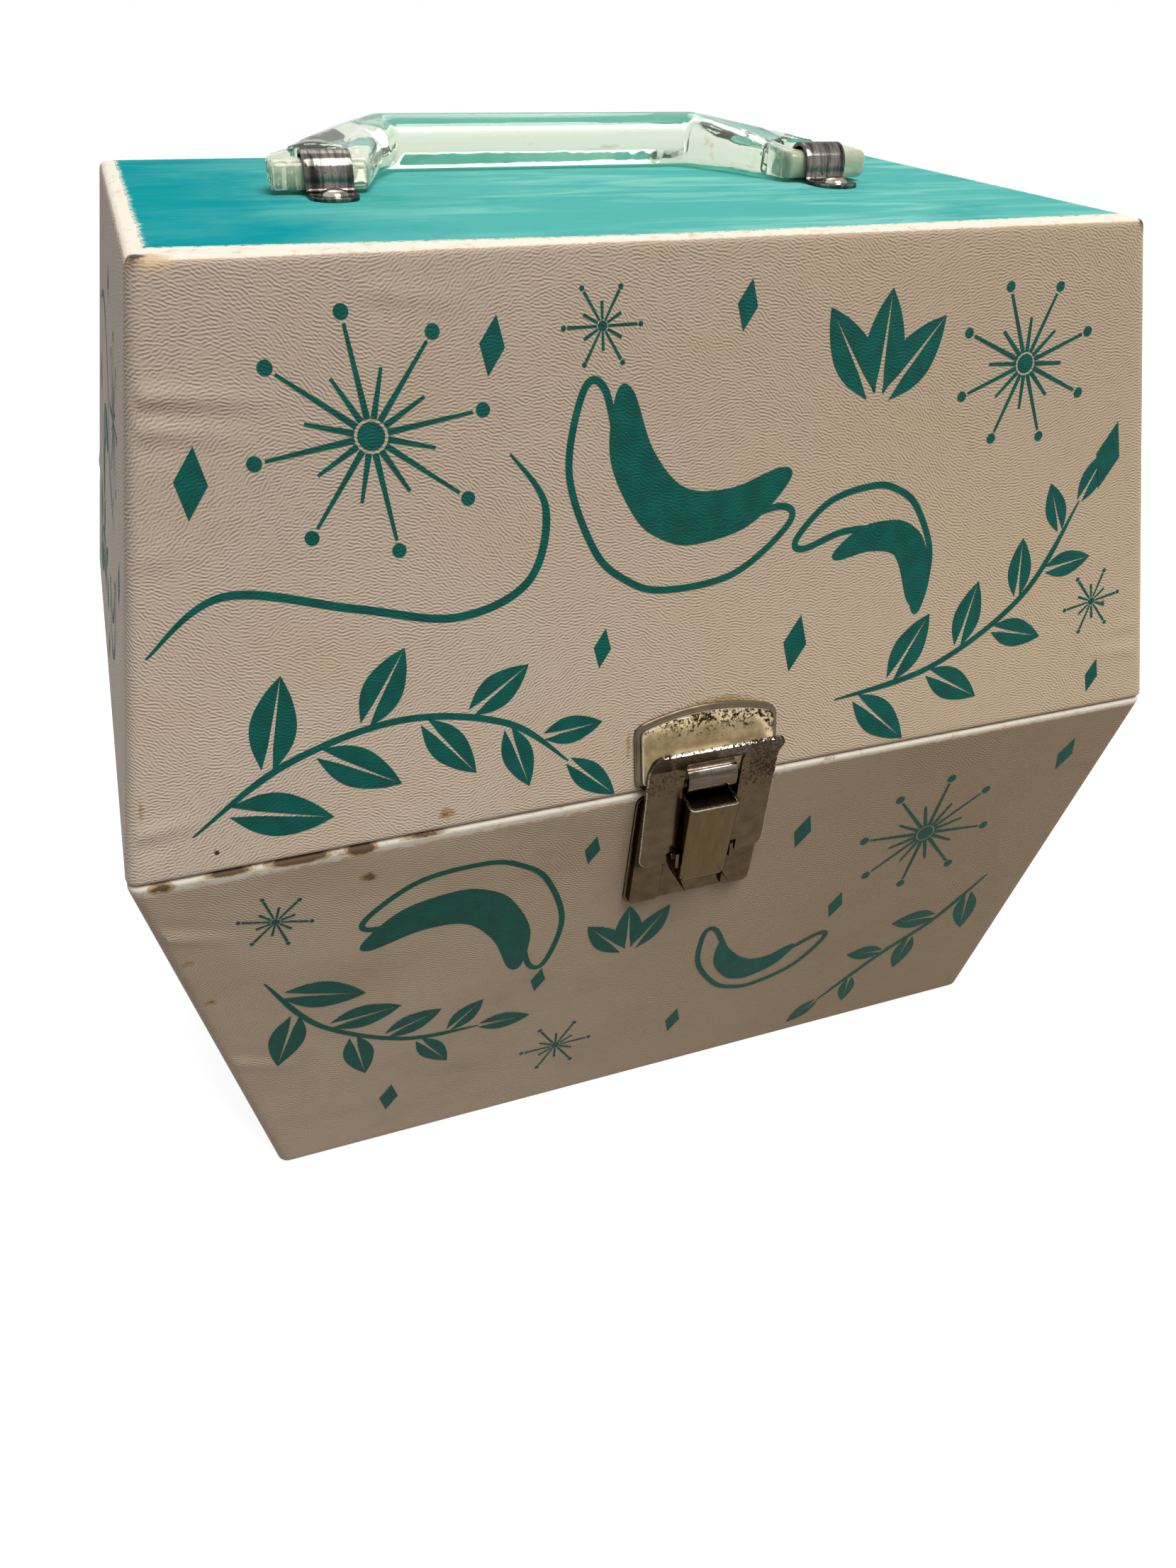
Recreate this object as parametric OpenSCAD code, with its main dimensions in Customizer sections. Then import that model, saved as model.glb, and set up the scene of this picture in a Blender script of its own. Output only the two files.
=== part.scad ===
// Carrying case for seven-inch records: two tapered halves that meet at their widest edge,
// hinged at the back, latched at the front, with a clear folding handle on the lid.
// Millimetres. Origin at the centre of the underside, +Z up, the latch faces -Y.

/* [Case] */
// Width of the top face
top_w = 192; // [180:1:205]
// Depth of the top face, front to back
top_d = 121; // [108:1:135]
// Width where the lid meets the base
seam_w = 230; // [222:1:242]
// Depth where the lid meets the base
seam_d = 157; // [150:1:168]
// Width of the bottom face
bottom_w = 194; // [182:1:206]
// Depth of the bottom face, front to back
bottom_d = 124; // [112:1:136]
// Height of the lid without its handle
lid_h = 102; // [90:1:115]
// Height of the base
base_h = 102; // [90:1:115]
// Gap between the two rims when the lid is shut
seam_gap = 0.3; // [0.2:0.1:0.8]

/* [Walls] */
// Thickness of the boards
board_t = 3; // [2.4:0.2:3.6]
// Thickness of the covering paper outside
cover_t = 0.4; // [0.3:0.1:0.7]
// Thickness of the lining paper inside
lining_t = 0.3; // [0.2:0.1:0.5]
// Covering paper that shows beside the top sheet on the left
border_left = 3; // [2:0.5:8]
// Covering paper that shows round the other edges of the top and bottom sheets
border = 2; // [1.5:0.5:5]
// Thickness of the collar strips inside the base
collar_t = 1.5; // [1:0.25:2]
// Height of the collar above the base's rim
collar_up = 8; // [4:1:9]
// Depth of the collar below the base's rim
collar_down = 10; // [7:1:12]
// Gap between the collar and the lid's lining
collar_gap = 0.6; // [0.5:0.1:1]

/* [Handle] */
// Distance between the middles of the two clips
clip_span = 110; // [100:1:120]
// Length of the handle's ends beyond the middles of the clips
lug_beyond = 11; // [10.4:0.1:11.4]
// Place of the swing axis in front of or behind the middle of the lid
handle_y = 0; // [-8:1:8]
// Thickness of the bar that turns in each clip
bar_t = 5.6; // [5:0.2:6]
// Rounding of the bar's long edges
bar_round = 1.8; // [1.4:0.2:2.2]
// Length of a lug along the handle
lug_w = 19; // [18.5:0.5:20]
// Length of a lug from the axis towards the grip
lug_reach = 20; // [19:0.5:22]
// Length of a lug's outer side, before its edge slants in to the grip
lug_side = 4; // [3:0.5:5]
// Width of the slot in a lug
slot_w = 11; // [10.6:0.1:11.4]
// Length of the slot beyond the axis
slot_reach = 15; // [14.6:0.2:16]
// Distance from the axis to the thickest line of the grip
grip_reach = 31.5; // [29:0.5:35]
// Radius of the grip on the side of the fingers
grip_r = 5.5; // [4.5:0.25:6]
// Radius of the grip on its outer side
grip_edge_r = 2.8; // [2:0.2:3.4]
// Distance between the centres of those two radii
grip_depth = 5.5; // [4:0.5:8]
// Length of the grip's outer edge beyond the thick part of the grip
grip_edge_len = 7.5; // [5:0.5:9]
// Length of the slope from the thick part of the grip to a lug, along the handle
shoulder = 9.5; // [8:0.5:12]
// Distance from the axis to the bend in an arm
bend_reach = 17; // [14:0.5:20]
// Distance of that bend from a lug's inner side, along the handle
bend_in = 3; // [2:0.5:4]
// Radius of an arm at its bend
arm_r = 4.2; // [3.4:0.2:4.2]

/* [Clips] */
// Width of the clip strap
clip_w = 9.5; // [9:0.1:10]
// Thickness of the clip strap
clip_t = 0.8; // [0.6:0.1:1]
// Length of each clip foot, from the strap to its round end
foot_len = 9.2; // [8.8:0.1:9.6]

/* [Rivets] */
// Radius of the clip rivets
rivet_r = 1.4; // [1:0.1:1.6]
// Radius of the clip rivets' heads
rivet_head_r = 2.7; // [2.2:0.1:3]
// Height of the rivet heads
rivet_head_h = 1.1; // [0.8:0.1:1.4]
// Radius of the small rivets of hinges and latch
small_rivet_r = 1; // [0.8:0.1:1.2]
// Radius of the small rivets' heads
small_head_r = 2; // [1.6:0.1:2.2]
// Height of the small rivets' heads
small_head_h = 0.8; // [0.5:0.1:0.9]
// Radius of the washers under the clip rivets inside the lid
washer_r = 4; // [3.6:0.2:5]
// Thickness of those washers
washer_t = 0.8; // [0.6:0.1:1.2]

/* [Latch] */
// Width of the strike plate on the lid
strike_w = 32; // [30:0.5:34]
// Height of the strike plate up the lid, at its middle
strike_h = 16.8; // [15.5:0.1:18]
// Distance from the lid's rim to the strike plate
strike_y = 0.4; // [0.3:0.1:1]
// Width of the flat flange round the strike plate's raised pan
strike_flange = 1.2; // [1:0.1:1.6]
// Rise of the pan above its flange
pan_rise = 1.1; // [0.8:0.1:1.2]
// Rise of the domed top edge at the middle
dome_rise = 2.7; // [2:0.1:3.4]
// Width of the strike's nose
nose_w = 10.5; // [9.5:0.25:11]
// Height of the nose's top above the lid's rim
nose_top = 6.2; // [5.6:0.1:6.6]
// Reach of the nose in front of the seam edge
nose_out = 3.5; // [3.1:0.1:3.8]
// Sheet thickness of the latch parts
sheet_t = 0.7; // [0.5:0.1:0.8]
// Width of the latch's base plate
plate_w = 31; // [30:0.5:32]
// Distance from the base's rim to the base plate
plate_y = 0.6; // [0.4:0.1:1]
// Height of the base plate
plate_h = 32.4; // [31:0.2:34]
// Rise of the two wings of the base plate
wing_rise = 1.5; // [1:0.1:1.6]
// Width of the sunk channel between the wings
channel_w = 14.8; // [14.4:0.2:16]
// Width of the spring housing
housing_w = 11.4; // [10.8:0.1:11.4]
// Height of the housing over the base's face
housing_out = 6.4; // [6.2:0.1:7]
// Length of the housing
housing_len = 22; // [20:0.5:23]
// Distance from the base's rim to the housing
housing_y = 1.7; // [1.4:0.1:2.4]

/* [Lever] */
// Width of the lever
lever_w = 29.2; // [28:0.4:30]
// Width of the lever's window
window_w = 12.9; // [12.7:0.1:13.2]
// Sheet thickness of the lever
lever_t = 0.9; // [0.7:0.1:1]
// Distance from the seam edge to the lever's inner face at the base's rim
lever_out = 2.7; // [2.5:0.1:3]
// Angle between the lever and the base's front wall
lever_splay = 3.6; // [2.4:0.2:4]
// Height of the lever's flat legs above the seam
lever_up = 6; // [5.6:0.1:6.4]
// Depth of the legs below the seam
lever_down = 19; // [18:0.5:20]
// Length of the flared lip
lip_len = 6.4; // [5.6:0.1:7.2]
// Angle by which the lip flares out
lip_flare = 30; // [26:1:36]
// Depth of the lever's pivot below the seam
pivot_down = 17.5; // [17:0.1:18]
// Distance from the base's front wall out to the lever's pivot
pivot_stand = 3.2; // [3.1:0.1:3.4]
// Radius of the latch pin
latch_pin_r = 1; // [0.8:0.1:1.1]
// Radius of the lever's ears round the pin
ear_r = 1.8; // [1.6:0.1:1.9]
// Wire thickness of the latch spring
wire_t = 0.5; // [0.4:0.05:0.55]
// Number of turns of the latch spring
spring_turns = 6; // [4:1:8]

/* [Hinges] */
// Distance between the middles of the two hinges
hinge_span = 130; // [90:5:150]
// Width of a hinge
hinge_w = 24; // [20:1:30]
// Length of a hinge leaf
leaf_len = 13; // [12:0.5:16]
// Thickness of a hinge leaf
leaf_t = 0.8; // [0.6:0.1:1]
// Radius of the hinge knuckles
knuckle_r = 1.8; // [1.6:0.1:2]
// Radius of the hinge pins
hinge_pin_r = 0.9; // [0.7:0.05:1]

/* [Hidden] */
$fn = 48;

cream = "#e6ddcd";
teal = "#2fa79b";
paper_white = "#efe9dc";
board_grey = "#9a8f7c";
nickel = "#a39a8c";
clear_plastic = "#cfe3d3";

// Overrun of a cutting tool past the face that it cuts
cut = 0.5;
// Gap between pieces that turn past each other
run_gap = 0.3;
// Radial clearance of a pin in the bore that turns on it
bore_gap = 0.05;
// Clearance of the nose from the window's upper edge
window_gap = 0.4;
// Radial clearance of a rivet in its hole
hole_gap = 0.1;

// A half of the case is [width at the closed end, depth at the closed end, height]. It is drawn
// with its rim at height 0 and its closed end above.
LID = [top_w, top_d, lid_h];
BASE = [bottom_w, bottom_d, base_h];
wall_t = cover_t + board_t + lining_t;
top_z = base_h + seam_gap + lid_h;
axis_h = -seam_gap / 2;

function lean_x(half) = atan((seam_w - half[0]) / (2 * half[2]));
function lean_y(half) = atan((seam_d - half[1]) / (2 * half[2]));
function half_w(half, h) = seam_w / 2 - h * tan(lean_x(half));
function half_d(half, h) = seam_d / 2 - h * tan(lean_y(half));

// Corner of the surface that lies the given depth inside the outer faces
function corner(half, h, depth, sx, sy) = [
    sx * (half_w(half, h) - depth / cos(lean_x(half))),
    sy * (half_d(half, h) - depth / cos(lean_y(half))),
    h
];
function arc(c, r, from, to, steps) = [
    for (i = [0 : steps]) c + r * [cos(from + (to - from) * i / steps), sin(from + (to - from) * i / steps)]
];

module in_base() {
    translate([0, 0, base_h]) mirror([0, 0, 1]) children();
}

module in_lid() {
    translate([0, 0, base_h + seam_gap]) children();
}

// Frame on the outside of the front wall: y runs from the rim along the wall, z points outwards
module on_front(half) {
    translate([0, -half_d(half, 0), 0]) rotate([90 - lean_y(half), 0, 0]) children();
}

module on_back(half) {
    mirror([0, 1, 0]) on_front(half) children();
}

// Draws a profile given as [y, z] and runs it along X, centred
module along_x(length) {
    rotate([90, 0, 90]) linear_extrude(length, center = true) children();
}

module hexahedron(points) {
    ends = [[0, 1, 2, 3], [7, 6, 5, 4]];
    sides = [[0, 4, 5, 1], [1, 5, 6, 2], [2, 6, 7, 3], [3, 7, 4, 0]];
    polyhedron(points, concat(ends, sides));
}

// Tapered block between two heights, the given depth inside the outer faces
module frustum(half, h0, h1, depth) {
    hexahedron([for (h = [h0, h1]) each [
        corner(half, h, depth, -1, -1), corner(half, h, depth, 1, -1),
        corner(half, h, depth, 1, 1), corner(half, h, depth, -1, 1)
    ]]);
}

// One mitred wall between two heights and two depths. Side 0 is the front, 1 right, 2 back, 3 left
module wall(half, side, h0, h1, d0, d1) {
    start = [[-1, -1], [1, -1], [1, 1], [-1, 1]][side];
    end = [[1, -1], [1, 1], [-1, 1], [-1, -1]][side];
    hexahedron([for (h = [h0, h1]) each [
        corner(half, h, d0, start[0], start[1]), corner(half, h, d0, end[0], end[1]),
        corner(half, h, d1, end[0], end[1]), corner(half, h, d1, start[0], start[1])
    ]]);
}

module rounded_rect(w, h, r) {
    translate([-w / 2 + r, 0]) square([w - 2 * r, h]);
    translate([-w / 2, r]) square([w, h - 2 * r]);
    for (x = [-w / 2 + r, w / 2 - r], y = [r, h - r]) translate([x, y]) circle(r);
}

// Rivet along z: the head lies on the height top and the clinched end on the height bottom
module rivet(r, head_r, head_h, top, bottom) {
    cap_r = (head_r * head_r + head_h * head_h) / (2 * head_h);
    translate([0, 0, bottom - head_h / 2]) cylinder(r = r, h = top - bottom + head_h / 2 + cut / 2);
    intersection() {
        translate([0, 0, top + head_h - cap_r]) sphere(cap_r);
        translate([0, 0, top]) cylinder(r = head_r, h = head_h);
    }
    translate([0, 0, bottom - head_h / 2]) cylinder(r = (r + head_r) / 2, h = head_h / 2);
}

// Places of the fasteners, shared by the fasteners and by the holes for them
clip_rivet_y = foot_len / 2 + bar_half() + run_gap + clip_t;
latch_rivet_x = (channel_w + plate_w) / 4;
latch_rivet_y = 14.5;
housing_rivet_end = 3.8;
housing_rivet_y = housing_y + housing_len - housing_rivet_end;
hinge_rivet_x = hinge_w / 4;
hinge_rivet_y = leaf_start() + leaf_len / 2;

module at_clip_rivets() {
    for (sx = [-1, 1], sy = [-1, 1])
        translate([sx * clip_span / 2, handle_y + sy * clip_rivet_y, top_z]) children();
}

module at_latch_rivets() {
    in_base() on_front(BASE) for (p = [[-latch_rivet_x, latch_rivet_y, sheet_t + wing_rise],
        [latch_rivet_x, latch_rivet_y, sheet_t + wing_rise], [0, housing_rivet_y, sheet_t]])
        translate([p[0], p[1], 0]) {
            $plate_top = p[2];
            children();
        }
}

module at_hinge_rivets(half) {
    on_back(half) for (sx = [-1, 1], dx = [-1, 1])
        translate([sx * hinge_span / 2 + dx * hinge_rivet_x, hinge_rivet_y, 0]) children();
}

module wall_hole(r) {
    translate([0, 0, -wall_t - cut]) cylinder(r = r + hole_gap, h = wall_t + 2 * cut);
}

// The strike plate is held by prongs that pass through the wall and fold over inside
prong_x = strike_w / 2 - strike_flange / 2;
prong_w = 4;
prong_fold = 4.5;
prong_margin = 0.5;
prong_y = strike_y + strike_h - dome_rise - prong_w / 2 - prong_margin;

module at_prongs() {
    in_lid() on_front(LID) for (side = [0, 1]) mirror([side, 0, 0])
        translate([prong_x, prong_y, 0]) children();
}

module prong_hole() {
    translate([-sheet_t / 2 - hole_gap, -prong_w / 2 - hole_gap, -wall_t - cut])
        cube([sheet_t + 2 * hole_gap, prong_w + 2 * hole_gap, wall_t + 2 * cut]);
}

module base_holes() {
    at_latch_rivets() wall_hole(small_rivet_r);
    in_base() at_hinge_rivets(BASE) wall_hole(small_rivet_r);
}

module lid_holes() {
    at_clip_rivets() wall_hole(rivet_r);
    at_prongs() prong_hole();
    in_lid() at_hinge_rivets(LID) wall_hole(small_rivet_r);
}

module wall_board(half, side) {
    wall(half, side, cover_t, half[2] - cover_t - board_t, cover_t, cover_t + board_t);
}

module end_board(half) {
    frustum(half, half[2] - cover_t - board_t, half[2] - cover_t, cover_t);
}

// Paper over the four walls, the rim and the edges of the closed end
module cover(half) {
    difference() {
        frustum(half, 0, half[2], 0);
        frustum(half, cover_t, half[2] - cover_t, cover_t);
        frustum(half, -cut, cover_t + cut, cover_t + board_t);
        children();
    }
}

module lining(half) {
    difference() {
        frustum(half, cover_t, half[2] - cover_t - board_t, cover_t + board_t);
        frustum(half, -cut, half[2] - cover_t - board_t - lining_t, wall_t);
    }
}

// Sheet on the closed end of a half, drawn thicker where it serves as a cutting tool
module end_sheet(half, left, extra) {
    translate([-half[0] / 2 + left, -half[1] / 2 + border, half[2] - cover_t])
        cube([half[0] - left - border, half[1] - 2 * border, cover_t + extra]);
}

module base_bottom_board() { color(board_grey) in_base() end_board(BASE); }
module base_left_board() { color(board_grey) in_base() wall_board(BASE, 3); }
module base_right_board() { color(board_grey) in_base() wall_board(BASE, 1); }

module base_front_board() {
    color(board_grey) difference() {
        in_base() wall_board(BASE, 0);
        base_holes();
    }
}

module base_back_board() {
    color(board_grey) difference() {
        in_base() wall_board(BASE, 2);
        base_holes();
    }
}

module base_cover() {
    color(cream) difference() {
        in_base() cover(BASE) end_sheet(BASE, border, cut);
        base_holes();
    }
}

module bottom_sheet() { color(paper_white) in_base() end_sheet(BASE, border, 0); }

module base_lining() {
    color(paper_white) difference() {
        in_base() lining(BASE);
        base_holes();
    }
}

// Strip glued inside the base's wall that stands up inside the lid and guides it shut
module collar(side) {
    overlap = 1;
    in_base() wall(BASE, side, seam_gap, collar_down, wall_t, wall_t + collar_t);
    in_lid() wall(LID, side, -seam_gap - overlap, collar_up,
        wall_t + collar_gap, wall_t + collar_gap + collar_t);
}

module collar_front() { color(paper_white) collar(0); }
module collar_right() { color(paper_white) collar(1); }
module collar_left() { color(paper_white) collar(3); }

module lid_top_board() {
    color(board_grey) difference() {
        in_lid() end_board(LID);
        lid_holes();
    }
}

module lid_left_board() { color(board_grey) in_lid() wall_board(LID, 3); }
module lid_right_board() { color(board_grey) in_lid() wall_board(LID, 1); }

module lid_front_board() {
    color(board_grey) difference() {
        in_lid() wall_board(LID, 0);
        lid_holes();
    }
}

module lid_back_board() {
    color(board_grey) difference() {
        in_lid() wall_board(LID, 2);
        lid_holes();
    }
}

module lid_cover() {
    color(cream) difference() {
        in_lid() cover(LID) end_sheet(LID, border_left, cut);
        lid_holes();
    }
}

module top_sheet() {
    color(teal) difference() {
        in_lid() end_sheet(LID, border_left, 0);
        lid_holes();
    }
}

module lid_lining() {
    color(paper_white) difference() {
        in_lid() lining(LID);
        lid_holes();
    }
}

// Latch, on the lid: a domed pan whose nose shows through the lever's window
module dome(grow) {
    arc_sides = 180;
    r = (strike_w * strike_w / 4 + dome_rise * dome_rise) / (2 * dome_rise);
    intersection() {
        translate([-strike_w / 2 - grow, strike_y - grow]) square([strike_w + 2 * grow, strike_h + 2 * grow]);
        translate([0, strike_y + strike_h - r]) circle(r + grow, $fn = arc_sides);
    }
}

module strike_plate() {
    nose_bottom = 1.4;
    nose_t = 1;
    nose_r = 3.4;
    root = half_d(LID, nose_top) + cover_t;
    front = seam_d / 2 + nose_out;
    bend = [-(front - nose_r), nose_top - nose_r];
    color(nickel) {
        in_lid() on_front(LID) difference() {
            union() {
                linear_extrude(sheet_t) dome(0);
                linear_extrude(sheet_t + pan_rise) dome(-strike_flange);
            }
            translate([0, 0, -cut]) linear_extrude(pan_rise + cut) dome(-strike_flange - sheet_t);
        }
        in_lid() along_x(nose_w) polygon(concat(
            [[-root, nose_top]],
            arc(bend, nose_r, 90, 180, 8),
            [[-front, nose_bottom], [-front + nose_t, nose_bottom]],
            arc(bend, nose_r - nose_t, 180, 90, 8),
            [[-root, nose_top - nose_t]]
        ));
        at_prongs() {
            translate([-sheet_t / 2, -prong_w / 2, -wall_t - sheet_t])
                cube([sheet_t, prong_w, wall_t + 2 * sheet_t]);
            translate([sheet_t / 2 - prong_fold, -prong_w / 2, -wall_t - sheet_t])
                cube([prong_fold, prong_w, sheet_t]);
        }
    }
}

// Latch, on the base: a plate with two raised wings and a housing in the channel between them
module latch_base_plate() {
    corner_r = 2.2;
    wing_margin = 0.8;
    wing_w = (plate_w - channel_w) / 2 - wing_margin;
    color(nickel) difference() {
        in_base() on_front(BASE) difference() {
            union() {
                translate([0, plate_y]) linear_extrude(sheet_t) rounded_rect(plate_w, plate_h, corner_r);
                for (side = [0, 1]) mirror([side, 0, 0])
                    translate([channel_w / 2 + wing_w / 2, plate_y + wing_margin, 0])
                        linear_extrude(sheet_t + wing_rise)
                            rounded_rect(wing_w, plate_h - 2 * wing_margin, corner_r / 2);
            }
            for (side = [0, 1]) mirror([side, 0, 0])
                translate([channel_w / 2 + sheet_t, plate_y + wing_margin + sheet_t, -cut])
                    cube([wing_w - 2 * sheet_t, plate_h - 2 * wing_margin - 2 * sheet_t, wing_rise + cut]);
        }
        at_latch_rivets() wall_hole(small_rivet_r);
        at_latch_rivets() cylinder(r = small_rivet_r + hole_gap, h = wing_rise + 2 * sheet_t);
    }
}

pivot_y = -half_d(BASE, pivot_down) - pivot_stand;

module at_pivot() {
    translate([0, pivot_y, base_h - pivot_down]) rotate([0, 90, 0]) children();
}

module latch_housing() {
    color(nickel) difference() {
        in_base() on_front(BASE) translate([-housing_w / 2, housing_y, sheet_t]) difference() {
            cube([housing_w, housing_len, housing_out - sheet_t]);
            translate([sheet_t, -cut, -cut])
                cube([housing_w - 2 * sheet_t, housing_len - sheet_t + cut, housing_out - 2 * sheet_t + cut]);
        }
        at_pivot() cylinder(r = latch_pin_r, h = housing_w + 2 * cut, center = true);
    }
}

module latch_pin() {
    color(nickel) at_pivot() cylinder(r = latch_pin_r, h = window_w + 2 * ear_t(), center = true);
}

module latch_rivets() {
    color(nickel) at_latch_rivets()
        rivet(small_rivet_r, small_head_r, small_head_h, $plate_top, -wall_t);
}

// Wire that winds round the latch pin
module latch_spring() {
    sides = 6;
    steps = 12;
    pin_gap = 0.12;
    end_gap = 0.5;
    coil_r = latch_pin_r + wire_t / 2 + pin_gap;
    coil_len = housing_w - 2 * (sheet_t + wire_t + end_gap);
    count = spring_turns * steps;
    pitch = coil_len / spring_turns;
    climb = atan(pitch / (2 * PI * coil_r));
    function ring(i) = let (a = 360 * i / steps, z = coil_len * i / count - coil_len / 2) [
        for (b = [0 : 360 / sides : 359]) let (u = wire_t / 2 * cos(b), w = wire_t / 2 * sin(b)) [
            (coil_r + u) * cos(a) + w * sin(climb) * sin(a),
            (coil_r + u) * sin(a) - w * sin(climb) * cos(a),
            z + w * cos(climb)
        ]
    ];
    points = [for (i = [0 : count]) each ring(i)];
    faces = concat(
        [[for (k = [0 : sides - 1]) k]],
        [[for (k = [sides - 1 : -1 : 0]) count * sides + k]],
        [for (i = [0 : count - 1], k = [0 : sides - 1]) let (n = (k + 1) % sides)
            [i * sides + k, (i + 1) * sides + k, (i + 1) * sides + n]],
        [for (i = [0 : count - 1], k = [0 : sides - 1]) let (n = (k + 1) % sides)
            [i * sides + k, (i + 1) * sides + n, i * sides + n]]
    );
    color(nickel) at_pivot() polyhedron(points, faces);
}

lever_lean = lean_y(BASE) - lever_splay;

// Place of the lever's inner face at a height
function lever_inner(z) = -seam_d / 2 - lever_out - (z - base_h) * tan(lever_lean);
function ear_t() = (window_w - housing_w) / 2 - run_gap + lever_t / 3;

module latch_lever() {
    bottom = base_h - lever_down;
    bend = base_h + seam_gap + lever_up;
    reach = lip_len * sin(lip_flare);
    rise = lip_len * cos(lip_flare);
    foot = lever_inner(bottom);
    knee = lever_inner(bend);
    front = knee - reach - lever_t;
    window_top = bend + (nose_out + window_gap + seam_d / 2 + knee) / tan(lip_flare);
    foot_r = 2.4;
    color(nickel) difference() {
        union() {
            difference() {
                along_x(lever_w) polygon([
                    [foot, bottom],
                    [knee, bend],
                    [knee - reach, bend + rise],
                    [knee - reach - lever_t * cos(lip_flare), bend + rise - lever_t * sin(lip_flare)],
                    [knee - lever_t, bend - lever_t * tan((lip_flare - lever_lean) / 2)],
                    [foot - lever_t, bottom]
                ]);
                translate([-window_w / 2, front - cut, bottom - cut])
                    cube([window_w, foot - front + 2 * cut, window_top - bottom + cut]);
                for (side = [0, 1]) mirror([side, 0, 0]) translate([lever_w / 2 - foot_r, 0, bottom + foot_r])
                    rotate([90, 0, 0]) translate([0, 0, -foot - cut]) difference() {
                        translate([0, -foot_r - cut, 0])
                            cube([foot_r + cut, foot_r + cut, 2 * lever_t + 2 * cut]);
                        translate([0, 0, -cut]) cylinder(r = foot_r, h = 2 * lever_t + 4 * cut);
                    }
            }
            for (side = [0, 1]) mirror([side, 0, 0]) translate([housing_w / 2 + run_gap, 0, 0]) {
                at_pivot() cylinder(r = ear_r, h = ear_t());
                translate([0, foot - lever_t, base_h - pivot_down - ear_r])
                    cube([ear_t(), pivot_y - foot + lever_t, 2 * ear_r]);
            }
        }
        at_pivot() cylinder(r = latch_pin_r + bore_gap, h = lever_w, center = true);
    }
}

// Hinges, at the back. A leaf is drawn in the frame of its half, for the lid and for the base
function leaf_start() = knuckle_r + run_gap;
hinge_out = knuckle_r + run_gap;
knuckle_len = (hinge_w - 2 * run_gap) / 3;

module at_hinge_axis() {
    translate([0, seam_d / 2 + hinge_out, axis_h]) rotate([0, 90, 0]) children();
}

// Knuckle places along the hinge: the base holds the outer two and the lid the middle one
function knuckles(is_base) = is_base ? [-1, 1] : [0];

module leaf_outline() {
    corner_r = 1.5;
    translate([-hinge_w / 2, 0]) square([hinge_w, leaf_len - corner_r]);
    translate([-hinge_w / 2 + corner_r, 0]) square([hinge_w - 2 * corner_r, leaf_len]);
    for (side = [-1, 1]) translate([side * (hinge_w / 2 - corner_r), leaf_len - corner_r]) circle(corner_r);
}

module hinge_leaf(half, is_base) {
    lean = lean_y(half);
    weld = leaf_start() + leaf_t;
    foot = [seam_d / 2 - weld * sin(lean), weld * cos(lean)];
    out = [cos(lean), sin(lean)];
    pitch = knuckle_len + run_gap;
    web_margin = 0.4;
    web_inset = 0.15;
    color(nickel) difference() {
        union() {
            on_back(half) translate([0, leaf_start(), 0]) linear_extrude(leaf_t) leaf_outline();
            for (k = knuckles(is_base)) translate([k * pitch, 0, 0]) {
                at_hinge_axis() cylinder(r = knuckle_r, h = knuckle_len, center = true);
                along_x(knuckle_len - 2 * web_margin) polygon([
                    foot + web_inset * out, foot + (leaf_t - web_inset) * out,
                    [seam_d / 2 + hinge_out + leaf_t / 2, axis_h],
                    [seam_d / 2 + hinge_out - leaf_t / 2, axis_h]
                ]);
            }
        }
        at_hinge_axis() cylinder(r = hinge_pin_r + bore_gap, h = hinge_w + 2 * cut, center = true);
        on_back(half) for (dx = [-1, 1]) translate([dx * hinge_rivet_x, hinge_rivet_y, -cut])
            cylinder(r = small_rivet_r + hole_gap, h = leaf_t + 2 * cut);
    }
}

module hinge_pin() {
    head_r = hinge_pin_r + 0.5;
    head_h = 0.6;
    color(nickel) in_base() at_hinge_axis() {
        cylinder(r = hinge_pin_r, h = hinge_w, center = true);
        for (side = [0, 1]) mirror([0, 0, side])
            translate([0, 0, hinge_w / 2]) cylinder(r = head_r, h = head_h);
    }
}

module left_hinge_base_leaf() { translate([-hinge_span / 2, 0, 0]) in_base() hinge_leaf(BASE, true); }
module right_hinge_base_leaf() { translate([hinge_span / 2, 0, 0]) in_base() hinge_leaf(BASE, true); }
module left_hinge_lid_leaf() { translate([-hinge_span / 2, 0, 0]) in_lid() hinge_leaf(LID, false); }
module right_hinge_lid_leaf() { translate([hinge_span / 2, 0, 0]) in_lid() hinge_leaf(LID, false); }
module left_hinge_pin() { translate([-hinge_span / 2, 0, 0]) hinge_pin(); }
module right_hinge_pin() { translate([hinge_span / 2, 0, 0]) hinge_pin(); }

module base_hinge_rivets() {
    color(nickel) in_base() at_hinge_rivets(BASE)
        rivet(small_rivet_r, small_head_r, small_head_h, leaf_t, -wall_t);
}

module lid_hinge_rivets() {
    color(nickel) in_lid() at_hinge_rivets(LID)
        rivet(small_rivet_r, small_head_r, small_head_h, leaf_t, -wall_t);
}

// Handle. The bar turns in the clips, so the height of the axis follows from the bar's diagonal
handle_len = clip_span + 2 * lug_beyond;
lug_in = handle_len / 2 - lug_w;
grip_len = 2 * (lug_in - shoulder);
function bar_half() = (bar_t / 2 - bar_round) * sqrt(2) + bar_round;
axis_up = bar_half() + run_gap;
rest_angle = asin((grip_r + run_gap - axis_up) / grip_reach);

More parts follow.
